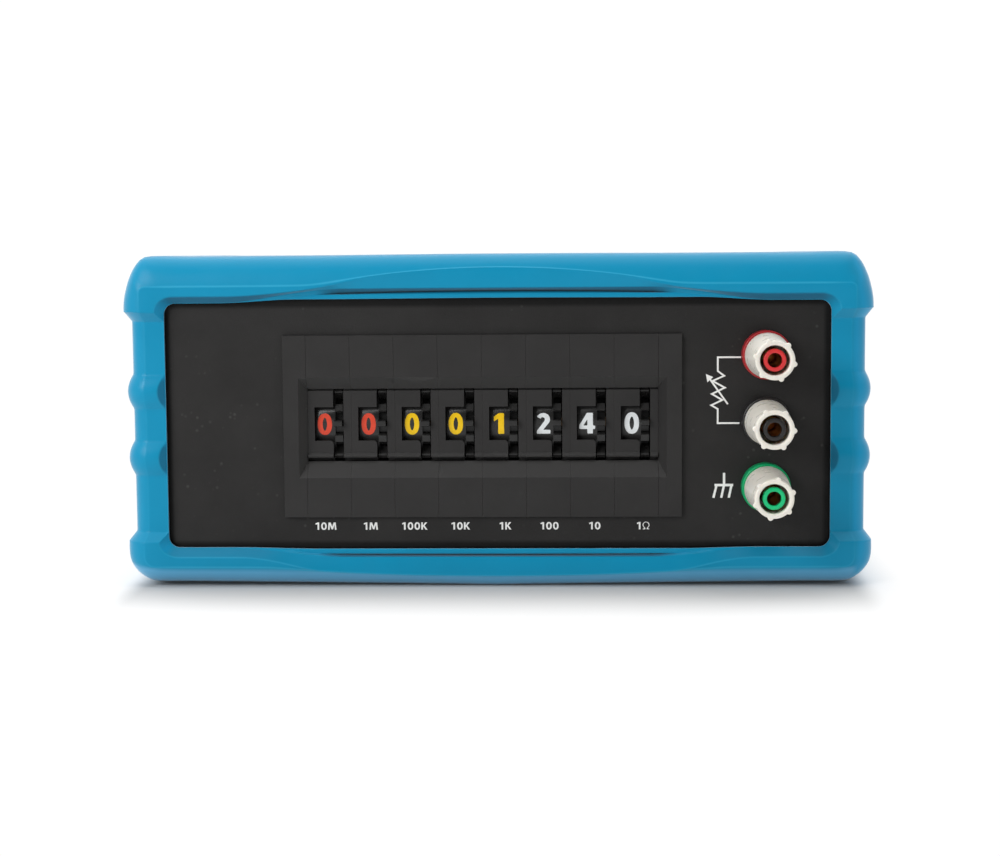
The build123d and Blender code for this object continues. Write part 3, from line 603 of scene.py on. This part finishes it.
def boot_profile(s):
    def V(p, d):
        return Vector((p[0], d, p[1]))

    def half(rear):
        if not rear:
            w, c, h = s["w"], s["c"], s["h"]
        else:
            w, c, h = s["wr"], s["cr"], s["hr"]
        arc = arc_points(s["h0"], h, s["o"], s["df"], s["D"])
        dh = arc[0][1]
        # the chamfer's outer edge lies on the front face, or on the rounded edge where the scoop has passed the face
        dc = s["df"] if math.hypot(c[0] - h[0], c[1] - h[1]) > 0.6 else lerp(dh, s["df"], min(1.0, math.hypot(c[0] - h[0], c[1] - h[1]) / 0.6))
        h0, o = s["h0"], s["o"]
        rim = [Vector((h0[0] + (o[0] - h0[0]) * t, d, h0[1] + (o[1] - h0[1]) * t)) for t, d in arc]
        low, side, slit = s.get("low"), s.get("side", 0.0), s.get("slit", 0.0)
        rib = min(1.0, s.get("rib", 0.0))
        if not rear:
            pts = [V(w, LIP_IN), V(w, s["ds"]), V(s["w2"], s["ds"]), V(s["g"], s["dg"]), V(s["pin"], s["dp"]), V(c, dc)]
            rad = [0, 0.28, 0.12, 0.08, 0.30, 0.35]
            # painted highlight on the creases, and painted shade in the slit, on the lip's inner wall and on the inner
            # facets
            facet = lerp((0.25 if low else 0.62) * (1 - s.get("scoop", 0.0)), 0.55 * rib, side)
            ce = lerp(0.75 if low else 0.0, 0.30, side)
            marks = [(0, 0.6, 0, 0), (0.25, 0, 0, 0), (0.2 * slit, 0, 0, 0), (0, 0.96 * slit, 0, 0), (0.0, 0, slit * 0.7, facet), (ce, 0, facet, 0)]
        else:
            pts = [V(w, 0.8), V(w, s["ds"]), V(c, dc)]
            rad = [0, 0.4, 0.35]
            marks = [(0, 0.4, 0, 0), (0.2, 0, 0, 0), (0.3, 0, 0, 0)]
        pts += rim
        rad += [0.42] + [0] * (len(rim) - 1)
        marks += [(lerp(1.0, 0.15, side), 0, 0, 0)] + [(0, 0, 0, 0)] * (len(rim) - 1)
        out, tone = rounded(pts, rad, 3, marks)
        if rear:
            out = [Vector((p.x, R_MIRROR - p.y, p.z)) for p in out]
            out.reverse()
            tone.reverse()
        return out, tone

    (front, tf), (rear, tr) = half(False), half(True)
    mid = [front[-1].lerp(rear[0], t) for t in (0.08, 0.25, 0.5, 0.75, 0.92)]
    if s["o"][1] < 20:
        for p in mid:
            p.z = max(0.0, p.z - 1.2 * sstep(1 - p.z / 8.0))
    cav = [V(s["cav"], 106.2), V(s["cav"], LIP_IN)]
    line = front + mid + rear + cav
    for p in line:
        # the top falls a little towards the back
        if p.z > 90.9 and p.y > 3:
            p.z -= 1.15 * (p.y - 3) / 104.0 * sstep((p.z - 90.9) / 4.6)
    return line, tf + [(0, 0, 0)] * len(mid) + tr + [(0, 0, 0)] * 2


BOOT_SHIFT = 0.3       # the boot sits this far right of the case's middle


def make_boot():
    prof = [boot_profile(s) for s in right_half()]
    n = len(prof[0][0])
    left = [([Vector((-p.x, p.y, p.z)) for p in q], t) for q, t in reversed(prof[1:-1])]
    loops = prof + left
    verts, faces, tone = [], [], []
    for q, t in loops:
        verts += [P(p.x + BOOT_SHIFT, p.y, p.z) for p in q]
        tone += t
    m = len(loops)
    for i in range(m):
        j = (i + 1) % m
        for k in range(n):
            k2 = (k + 1) % n
            faces.append((i * n + k, i * n + k2, j * n + k2, j * n + k))
    ob = new_object("boot", verts, faces, angle=62, tone=tone)
    paint(ob, "boot")
    return ob


boot = make_boot()
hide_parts("rubber_boot")
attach(boot, "root")


# ------------------------------------------------------------------ lathe work
def lathe(name, profile, cx, cz, seg=96, shift=None, closed=True):
    """Turns [(r, d)] round the line along y through (cx, cz). shift(r, d, angle) moves a point's radius."""
    verts, faces = [], []
    for k in range(seg):
        a = 2 * math.pi * k / seg
        for r, d in profile:
            rr = r + (shift(r, d, a) if shift else 0.0)
            verts.append(P(cx + rr * math.cos(a), d, cz + rr * math.sin(a)))
    n = len(profile)
    for k in range(seg):
        k2 = (k + 1) % seg
        for i in range(n if closed else n - 1):
            i2 = (i + 1) % n
            faces.append((k * n + i, k * n + i2, k2 * n + i2, k2 * n + i))
    return new_object(name, verts, faces, angle=38)


def round_profile(pts, radii, n=3):
    """Closed [(r, d)] profile with rounded corners."""
    out = []
    m = len(pts)
    for i in range(m):
        p, a, b = Vector(pts[i]), Vector(pts[i - 1]), Vector(pts[(i + 1) % m])
        r = radii[i]
        if r <= 0:
            out.append(tuple(p))
            continue
        la, lb = (a - p).length, (b - p).length
        ea, eb = p + (a - p) * (min(r, 0.45 * la) / la), p + (b - p) * (min(r, 0.45 * lb) / lb)
        for k in range(n + 1):
            t = k / n
            out.append(tuple(ea * (1 - t) ** 2 + p * (2 * t * (1 - t)) + eb * t * t))
    return out


NUB_AT = {"red": -11.5, "black": -3.0, "green": 19.0}
for colour, z in POST_Z.items():
    start = math.radians(NUB_AT[colour])

    def nubs(r, d, a, start=start):
        if r < 4.8 or d > -26.2:
            return 0.0
        t = (math.degrees(a - start) % 60.0)
        t = min(t, 60.0 - t)
        across = max(0.0, 1 - (t / 8.2) ** 2)
        along = sstep((-26.2 - d) / 0.8) * sstep((r - 4.8) / 0.5)
        return 0.68 * across ** 0.75 * along if across > 0 else 0.0

    prof = round_profile([(3.1, -5.5), (6.48, -5.5), (6.42, -7.4), (5.55, -25.6), (5.48, -26.6), (5.45, -28.3), (4.12, -28.3), (4.1, -17.0), (3.1, -17.0)],
                         [0.15, 0.5, 0.5, 0.4, 0.3, 0.50, 0.58, 0.2, 0.15], 5)
    # more rings along the outer wall, so that the nubs have a shape
    dense = []
    for i, p in enumerate(prof):
        dense.append(p)
        q = prof[(i + 1) % len(prof)]
        if p[0] > 5.2 and q[0] > 5.2 and abs(q[1] - p[1]) > 0.5:
            k = max(2, int(abs(q[1] - p[1]) / (0.25 if min(p[1], q[1]) < -25.7 else 0.6)))
            dense += [(lerp(p[0], q[0], j / k), lerp(p[1], q[1], j / k)) for j in range(1, k)]
    knob = lathe("knob_" + colour + "_shell", dense, POST_X, z, seg=180, shift=nubs)
    paint(knob, "ivory")
    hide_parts("knob_" + colour)
    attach(knob, "knob_" + colour)

    # threaded stud with the plug socket bored in its end
    seg, pitch = 64, 1.0
    rings = []
    d = -24.6
    outer = [(2.55, -25.3), (2.9, -25.0), (2.95, -24.7)]
    steps = int((24.6 - 5.2) / (pitch / 6))
    thread = [(-24.6 + k * pitch / 6) for k in range(steps + 1)]
    prof = [(2.0, -25.3)] + outer + [(2.95, t) for t in thread] + [(3.0, -5.0), (3.0, 2.0), (2.5, 2.0), (2.5, 13.6), (2.15, 14.0), (0.0, 14.0), (0.0, -7.0), (1.2, -7.2), (2.0, -7.6)]

    def screw(r, d, a):
        if r < 2.9 or d < -24.65 or d > -5.15:
            return 0.0
        f = ((d / 1.0) + a / (2 * math.pi)) % 1.0
        ease = min(1.0, (d + 24.65) / 0.8, (-5.15 - d) / 0.8)
        return -0.30 * (0.5 + 0.5 * math.cos(2 * math.pi * f)) * max(0.0, ease)

    stud = lathe("stud_" + colour + "_threaded", prof, POST_X, z, seg=seg, shift=screw)
    paint(stud, "brass")
    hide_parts("stud_" + colour)
    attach(stud, "root")

    tip = lathe("socket_tip_" + colour + "_ring", round_profile([(2.0, -27.3), (3.15, -27.3), (3.15, -25.3), (2.0, -25.3)], [0.15, 0.45, 0.08, 0.08], 5), POST_X, z, seg=96)
    paint(tip, colour)
    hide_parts("socket_tip_" + colour)
    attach(tip, "root")

    collar = lathe("collar_" + colour + "_ring",
                   round_profile([(3.02, -4.5), (6.75, -4.5), (7.0, -4.2), (7.0, 0.0), (4.5, 0.0), (4.5, 2.0), (3.02, 2.0)], [0.1, 0.2, 0.25, 0.08, 0.05, 0.15, 0.1], 3), POST_X, z, seg=128)
    paint(collar, {"red": "red_dark", "green": "green_dark"}.get(colour, colour))
    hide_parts("collar_" + colour)
    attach(collar, "root")


# ------------------------------------------------------------ figures and print
def ell(cx, cy, rx, ry, a0, a1, n=18, p=2.0):
    out = []
    for k in range(n + 1):
        a = math.radians(lerp(a0, a1, k / n))
        c, s = math.cos(a), math.sin(a)
        e = 2.0 / p
        out.append((cx + rx * math.copysign(abs(c) ** e, c), cy + ry * math.copysign(abs(s) ** e, s)))
    return out


def ring(cx, cy, rx, ry, n=36, p=2.0):
    return ell(cx, cy, rx, ry, 0, 360 - 360 / n, n - 1, p)


SIX = [[(0.60, 1.0)] + ell(0.60, 0.40, 0.57, 0.60, 95, 180, 12) + ell(0.355, 0.325, 0.325, 0.335, 195, 465, 30) + ell(0.60, 0.53, 0.33, 0.285, 160, 92, 8) + [(0.60, 0.815)],
       ring(0.365, 0.315, 0.115, 0.145, 28)]
GLYPH = {
    "0": (0.70, [ring(0.35, 0.5, 0.345, 0.522, 48, 2.2), ring(0.35, 0.5, 0.108, 0.315, 36, 1.75)]),
    "1": (0.50, [[(0.21, 0), (0.495, 0), (0.485, 1.0), (0.235, 1.0), (0.005, 0.835), (0.005, 0.61), (0.21, 0.735)]]),
    "2": (0.68, [ell(0.325, 0.70, 0.325, 0.30, 158, -38, 20) + [(0.315, 0.19), (0.665, 0.19), (0.665, 0.0), (0.015, 0.0), (0.015, 0.14)]
                 + ell(0.295, 0.685, 0.105, 0.115, -42, 158, 14)]),
    "3": (0.66, [ell(0.29, 0.735, 0.315, 0.265, 135, -52, 18) + ell(0.28, 0.285, 0.365, 0.285, 52, -135, 20) + ell(0.245, 0.29, 0.165, 0.115, -140, 82, 14)
                 + [(0.16, 0.405), (0.16, 0.575)] + ell(0.25, 0.72, 0.115, 0.105, -82, 140, 12)]),
    "4": (0.76, [[(0.365, 1.0), (0.652, 1.0), (0.652, 0.39), (0.76, 0.39), (0.76, 0.225), (0.652, 0.225), (0.652, 0.0), (0.386, 0.0), (0.386, 0.225), (0.0, 0.225), (0.0, 0.40)],
                 [(0.388, 0.39), (0.19, 0.39), (0.388, 0.695)]]),
    "5": (0.66, [[(0.10, 1.0), (0.62, 1.0), (0.62, 0.815), (0.285, 0.815), (0.272, 0.635)] + ell(0.28, 0.32, 0.375, 0.32, 85, -130, 22) + ell(0.25, 0.325, 0.165, 0.145, -135, 112, 16)
                 + [(0.075, 0.47)]]),
    "6": (0.69, SIX),
    "7": (0.67, [[(0.03, 1.0), (0.66, 1.0), (0.66, 0.85), (0.335, 0.0), (0.105, 0.0), (0.42, 0.81), (0.03, 0.81)]]),
    "8": (0.70, [ell(0.35, 0.745, 0.29, 0.255, -53.5, 233.5, 26) + ell(0.35, 0.285, 0.345, 0.285, 116.5, 423.5, 30),
                 ring(0.35, 0.745, 0.095, 0.10, 24), ring(0.35, 0.285, 0.115, 0.125, 24)]),
    "9": (0.69, [[(0.70 - x, 1.0 - y) for x, y in c] for c in SIX]),
}
SMALL = {
    "0": (0.74, [ring(0.37, 0.5, 0.37, 0.515, 40, 2.15), ring(0.37, 0.5, 0.158, 0.325, 32, 2.0)]),
    "1": (0.50, [[(0.28, 0), (0.50, 0), (0.50, 1.0), (0.30, 1.0), (0.02, 0.865), (0.075, 0.695), (0.28, 0.785)]]),
    "K": (0.80, [[(0, 0), (0, 1), (0.22, 1), (0.22, 0.56), (0.53, 1), (0.785, 1), (0.44, 0.545), (0.815, 0), (0.555, 0), (0.30, 0.41), (0.22, 0.31), (0.22, 0)]]),
    "M": (1.12, [[(0, 0), (0.085, 1), (0.36, 1), (0.56, 0.42), (0.76, 1), (1.035, 1), (1.12, 0), (0.91, 0), (0.868, 0.67), (0.655, 0.06), (0.465, 0.06), (0.252, 0.67), (0.21, 0)]]),
    "O": (0.92, [[(0.04, 0), (0.375, 0), (0.375, 0.13)] + ell(0.46, 0.59, 0.345, 0.36, 247, -67, 30) + [(0.545, 0.13), (0.545, 0), (0.88, 0), (0.88, 0.085), (0.735, 0.095)]
                 + ell(0.46, 0.585, 0.445, 0.445, -52, 232, 32) + [(0.185, 0.095), (0.04, 0.085)]]),
}


def ease_contour(c, r):
    """Rounds the sharp corners of a contour."""
    out = []
    m = len(c)
    for i in range(m):
        p, a, b = Vector(c[i]), Vector(c[i - 1]), Vector(c[(i + 1) % m])
        if (a - p).length < 1e-9 or (b - p).length < 1e-9:
            continue
        turn = (p - a).angle(b - p)
        if turn < math.radians(24):
            out.append(tuple(p))
            continue
        ea = p + (a - p).normalized() * min(r, 0.45 * (a - p).length)
        eb = p + (b - p).normalized() * min(r, 0.45 * (b - p).length)
        for t in (0, 0.33, 0.67, 1):
            out.append(tuple(ea * (1 - t) ** 2 + p * (2 * t * (1 - t)) + eb * t * t))
    return out


def flat_solid(name, shapes, place, thick, cuts=None):
    """shapes is a list of contour groups in mm (outer first, then holes). place(u, v, t) gives the point at height t above the surface.
    Groups that cross each other differ a little in height."""
    bm = bmesh.new()
    for count, group in enumerate(shapes):
        pts = [Vector((x, y, 0)) for c in group for x, y in c]
        tris = tessellate_polygon([[Vector((x, y, 0)) for x, y in c] for c in group])
        vs = [bm.verts.new(p + Vector((0, 0, count * 1e-3))) for p in pts]
        for t in tris:
            a, b, c = (pts[i] for i in t)
            if (b - a).cross(c - a).length > 1e-10:
                try:
                    bm.faces.new([vs[i] for i in t])
                except ValueError:
                    pass
    loose = [v for v in bm.verts if not v.link_faces]
    bmesh.ops.delete(bm, geom=loose, context="VERTS")
    for y in cuts or ():
        bmesh.ops.bisect_plane(bm, geom=bm.verts[:] + bm.edges[:] + bm.faces[:], plane_co=(0, y, 0), plane_no=(0, 1, 0))
    bmesh.ops.recalc_face_normals(bm, faces=bm.faces)
    for f in bm.faces:
        if f.normal.z < 0:
            f.normal_flip()
    base = bm.faces[:]
    ext = bmesh.ops.extrude_face_region(bm, geom=base)
    top = [g for g in ext["geom"] if isinstance(g, bmesh.types.BMVert)]
    topset = set(top)
    for v in bm.verts:
        u, w, lift = v.co.x, v.co.y, v.co.z * 2.0 if cuts is None else 0.0
        v.co = place(u, w, thick + lift if v in topset else -0.03)
    bmesh.ops.recalc_face_normals(bm, faces=bm.faces)
    me = bpy.data.meshes.new(name)
    bm.to_mesh(me)
    bm.free()
    ob = bpy.data.objects.new(name, me)
    bpy.context.scene.collection.objects.link(ob)
    return ob


def text_shapes(text, height, centre_x, base_z, gap=0.085, wide=1.0):
    """Contours for a line of text centred on centre_x, in mm."""
    gaps = [gap + (0.11 if c == "1" else 0.0) for c in text[:-1]] + [0.0]
    total = sum(SMALL[c][0] for c in text) + sum(gaps)
    x = -total / 2
    shapes = []
    for c, g in zip(text, gaps):
        w, cs = SMALL[c]
        shapes.append([[(centre_x + (x + px) * height * wide, base_z + py * height) for px, py in ease_contour(k, 0.02)] for k in cs])
        x += w + g
    return shapes


def on_panel(u, v, t):
    return P(u, -t, v)


LABELS = (("10M", -49.7), ("1M", -36.6), ("100K", -23.8), ("10K", -10.4), ("1K", 2.6), ("100", 15.4), ("10", 28.5), ("1O", 42.5))
for (text, x), nm in zip(LABELS, NAMES):
    t = flat_solid("label_" + nm, text_shapes(text, 2.15, x, 16.35, gap=0.155, wide=1.03), on_panel, 0.03)
    paint(t, "print")
    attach(t, "root")


def stroke(points, width):
    """Contour of a mitred line."""
    left, right = [], []
    n = len(points)
    for i, p in enumerate(points):
        p = Vector(p)
        a = (p - Vector(points[i - 1])).normalized() if i > 0 else None
        b = (Vector(points[i + 1]) - p).normalized() if i < n - 1 else None
        if a is None or b is None:
            dvec = b if a is None else a
            nrm = Vector((-dvec.y, dvec.x))
            left.append(tuple(p + nrm * width / 2)); right.append(tuple(p - nrm * width / 2))
            continue
        na, nb = Vector((-a.y, a.x)), Vector((-b.y, b.x))
        mid = (na + nb).normalized()
        k = min(2.2, 1 / max(0.2, mid.dot(na)))
        left.append(tuple(p + mid * width / 2 * k)); right.append(tuple(p - mid * width / 2 * k))
    return left + right[::-1]


def from_photo(px, py):
    return (63.9 + (px - 717.8) / 3.51, 66.08 - (py - 357.3) / 3.474)


res = [from_photo(*p) for p in ((741, 357.3), (717.8, 357.3), (717.8, 371.0), (724.2, 375.8), (712.6, 380.9), (724.9, 387.7), (711.9, 393.9), (722.4, 400.0), (711.4, 405.2), (717.8, 409), (717.8, 423.2), (739.8, 423.2))]
shaft = [from_photo(*p) for p in ((727.9, 404.2), (709.6, 378.6))]
head = [from_photo(*p) for p in ((705.9, 374.0), (713.2, 377.0), (707.4, 382.3))]
gnd = [[from_photo(*p) for p in q] for q in (((724.4, 473.2), (724.4, 485.6)), ((714.8, 485.5), (733.6, 485.5)), ((716.9, 485.6), (713.7, 498.3)), ((724.4, 485.6), (721.6, 498.3)), ((732.0, 485.6), (729.2, 498.3)))]
sym = flat_solid("variable_resistor_sign", [[stroke(res, 0.50)], [stroke(shaft, 0.50)], [head]], on_panel, 0.03)
paint(sym, "print")
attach(sym, "root")
sym = flat_solid("ground_sign", [[stroke(gnd[0], 0.68)], [stroke(gnd[1], 0.72)], [stroke(gnd[2], 0.66)], [stroke(gnd[3], 0.66)], [stroke(gnd[4], 0.66)]], on_panel, 0.03)
paint(sym, "print")
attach(sym, "root")

# ten figures round each drum
FIG_H, DRUM_R = 6.08, 13.6
FIG_U = (4.74, 4.85, 4.82, 4.89, 4.75, 5.0, 4.95, 5.15)
for i, nm in enumerate(NAMES):
    u0 = XM + (i - 4) * PITCH
    key = "fig_red" if i < 2 else ("fig_yellow" if i < 5 else "fig_white")
    shapes = []
    for k in range(10):
        ch = str((READING[i] + k) % 10)
        w, cs = GLYPH[ch]
        off = DRUM_R * math.radians(36 * k)
        group = [[(u0 + FIG_U[i] + (px - w / 2) * FIG_H, off + (py - 0.5) * FIG_H) for px, py in ease_contour(c, 0.045)] for c in cs]
        shapes.append(group)

    def on_drum(u, v, t):
        a = v / DRUM_R
        r = DRUM_R + t
        return P(u, AX_D - r * math.cos(a), AX_Z + r * math.sin(a))

    lo, hi = -FIG_H / 2, DRUM_R * math.radians(324) + FIG_H / 2
    cuts = [lo + 0.55 * j for j in range(1, int((hi - lo) / 0.55) + 1)]
    figs = flat_solid("figures_" + nm, shapes, on_drum, 0.025, cuts)
    for p in figs.data.polygons:
        p.use_smooth = False
    paint(figs, key)
    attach(figs, "wheel_" + nm)

# ------------------------------------------------------- finish of the CAD nodes
FINISH = {"case_top": "case", "case_bottom": "case", "case_screws": "steel", "front_panel": "panel", "rear_panel": "panel",
          "contact_boards": "board", "detent_springs": "spring", "resistors": "lacquer", "link_board": "board",
          "end_cheek_left": "switch", "end_cheek_right": "switch", "tie_rods": "steel", "tie_rod_nuts": "steel",
          "post_bushes": "black", "post_nuts": "plated", "solder_tags": "tinned", "earth_screw": "steel",
          "hookup_wire_red": "wire_red", "hookup_wire_black": "wire_black", "hookup_wire_green": "wire_green"}
for nm in NAMES:
    FINISH["switch_body_" + nm] = "switch"
    FINISH["thumbwheel_" + nm] = "wheel"
    FINISH["wiper_" + nm] = "bronze"
for colour in POST_Z:
    FINISH["pressure_washer_" + colour] = "plated"
for node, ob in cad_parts.items():
    if node in FINISH:
        ob.data.materials.clear()
        ob.data.materials.append(MAT[FINISH[node]])

BEVELS = {"switch_body_": 0.00005, "end_cheek_": 0.00008, "thumbwheel_": 0.00010, "front_panel": 0.0002, "rear_panel": 0.0002, "case_": 0.0003,
          "pressure_washer_": 0.00015, "earth_screw": 0.0001}
for node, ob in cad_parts.items():
    for start, width in BEVELS.items():
        if node.startswith(start) and node != "case_screws":
            wd = ob.modifiers.new("weld", "WELD")
            wd.merge_threshold = 2e-6
            bv = ob.modifiers.new("bevel", "BEVEL")
            bv.width = width
            bv.segments = 2
            bv.limit_method = "ANGLE"
            bv.angle_limit = math.radians(40)
            bv.harden_normals = start in ("switch_body_", "end_cheek_", "front_panel", "rear_panel")
            bv.use_clamp_overlap = True

# ------------------------------------------------------------- floor and lights
def make_floor():
    s = 3.0
    verts, faces = [], []
    n = 12
    for i in range(n + 1):
        for j in range(n + 1):
            verts.append((-s + 2 * s * i / n, -s + 2 * s * j / n, -0.00002))
    for i in range(n):
        for j in range(n):
            a = i * (n + 1) + j
            faces.append((a, a + n + 1, a + n + 2, a + 1))
    me = bpy.data.meshes.new("floor")
    me.from_pydata(verts, [], faces)
    ob = bpy.data.objects.new("floor", me)
    bpy.context.scene.collection.objects.link(ob)
    m = bpy.data.materials.new("floor_white")
    m.use_nodes = True
    fn, fl = m.node_tree.nodes, m.node_tree.links
    bs = fn["Principled BSDF"]
    bs.inputs["Base Color"].default_value = (0.93, 0.93, 0.93, 1)
    bs.inputs["Roughness"].default_value = 0.9
    bs.inputs["Specular IOR Level"].default_value = 0.1
    # painted shadow: the floor's colour is darkened near the box and its glow fades there, while further away it glows
    # plain white over the lamps' shadows
    co = fn.new("ShaderNodeTexCoord")
    away = fn.new("ShaderNodeVectorMath")
    away.operation = "SUBTRACT"
    away.inputs[1].default_value = (0.0, 0.012, 0.0)
    size = fn.new("ShaderNodeVectorMath")
    size.operation = "ABSOLUTE"
    edge = fn.new("ShaderNodeVectorMath")
    edge.operation = "SUBTRACT"
    edge.inputs[1].default_value = (0.1015, 0.050, 0.0)
    flat = fn.new("ShaderNodeVectorMath")
    flat.operation = "MAXIMUM"
    flat.inputs[1].default_value = (0.0, 0.0, 0.0)
    level = fn.new("ShaderNodeVectorMath")
    level.operation = "MULTIPLY"
    level.inputs[1].default_value = (6.0, 1.0, 0.0)
    far = fn.new("ShaderNodeVectorMath")
    far.operation = "LENGTH"
    near = fn.new("ShaderNodeMapRange")
    near.interpolation_type = "SMOOTHSTEP"
    near.inputs["From Min"].default_value, near.inputs["From Max"].default_value = 0.0, 0.060
    near.inputs["To Min"].default_value, near.inputs["To Max"].default_value = 0.50, 0.93
    grey = fn.new("ShaderNodeCombineColor")
    ramp = fn.new("ShaderNodeMapRange")
    ramp.interpolation_type = "SMOOTHSTEP"
    ramp.inputs["From Min"].default_value, ramp.inputs["From Max"].default_value = -0.010, 0.122
    glow = fn.new("ShaderNodeEmission")
    glow.inputs["Strength"].default_value = 1.02
    mix = fn.new("ShaderNodeMixShader")
    fl.new(co.outputs["Object"], away.inputs[0])
    fl.new(away.outputs["Vector"], size.inputs[0])
    fl.new(size.outputs["Vector"], edge.inputs[0])
    fl.new(edge.outputs["Vector"], flat.inputs[0])
    fl.new(flat.outputs["Vector"], level.inputs[0])
    fl.new(level.outputs["Vector"], far.inputs[0])
    fl.new(far.outputs["Value"], ramp.inputs["Value"])
    fl.new(far.outputs["Value"], near.inputs["Value"])
    for channel in ("Red", "Green", "Blue"):
        fl.new(near.outputs["Result"], grey.inputs[channel])
    fl.new(grey.outputs["Color"], bs.inputs["Base Color"])
    fl.new(ramp.outputs["Result"], mix.inputs[0])
    fl.new(bs.outputs[0], mix.inputs[1])
    fl.new(glow.outputs[0], mix.inputs[2])
    fl.new(mix.outputs[0], fn["Material Output"].inputs["Surface"])
    me.materials.append(m)
    ob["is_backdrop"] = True


make_floor()


def area(name, loc, target, size, power, colour=(1, 1, 1), size_y=None):
    li = bpy.data.lights.new(name, "AREA")
    li.shape = "RECTANGLE"
    li.size = size
    li.size_y = size_y or size
    li.energy = power
    li.color = colour
    ob = bpy.data.objects.new(name, li)
    bpy.context.scene.collection.objects.link(ob)
    ob.location = loc
    d = Vector(target) - Vector(loc)
    ob.rotation_mode = "QUATERNION"
    ob.rotation_quaternion = d.to_track_quat("-Z", "Y")
    return ob


area("key_left", (-0.56, -0.62, 0.42), (-0.02, -0.04, 0.045), 0.45, 5.6, size_y=0.5)
area("fill_right", (1.05, -0.62, 0.60), (0, -0.02, 0.045), 0.6, 1.0, size_y=0.8)
area("top_soft", (0.0, 0.15, 1.25), (0, 0, 0.05), 1.5, 13.0)
world = bpy.data.worlds.new("studio")
bpy.context.scene.world = world
world.use_nodes = True
wn, wl = world.node_tree.nodes, world.node_tree.links
bg = wn["Background"]
tc = wn.new("ShaderNodeTexCoord")
sp = wn.new("ShaderNodeSeparateXYZ")
mr = wn.new("ShaderNodeMapRange")
mr.interpolation_type = "SMOOTHSTEP"
mr.inputs["From Min"].default_value, mr.inputs["From Max"].default_value = -0.45, 0.45
mr.inputs["To Min"].default_value, mr.inputs["To Max"].default_value = 0.12, 1.03
wl.new(tc.outputs["Generated"], sp.inputs[0])
wl.new(sp.outputs["Y"], mr.inputs["Value"])
wl.new(mr.outputs["Result"], bg.inputs["Strength"])
bg.inputs["Color"].default_value = (1.0, 1.0, 1.0, 1)
bpy.context.scene.view_settings.view_transform = "Standard"

lo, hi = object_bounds()
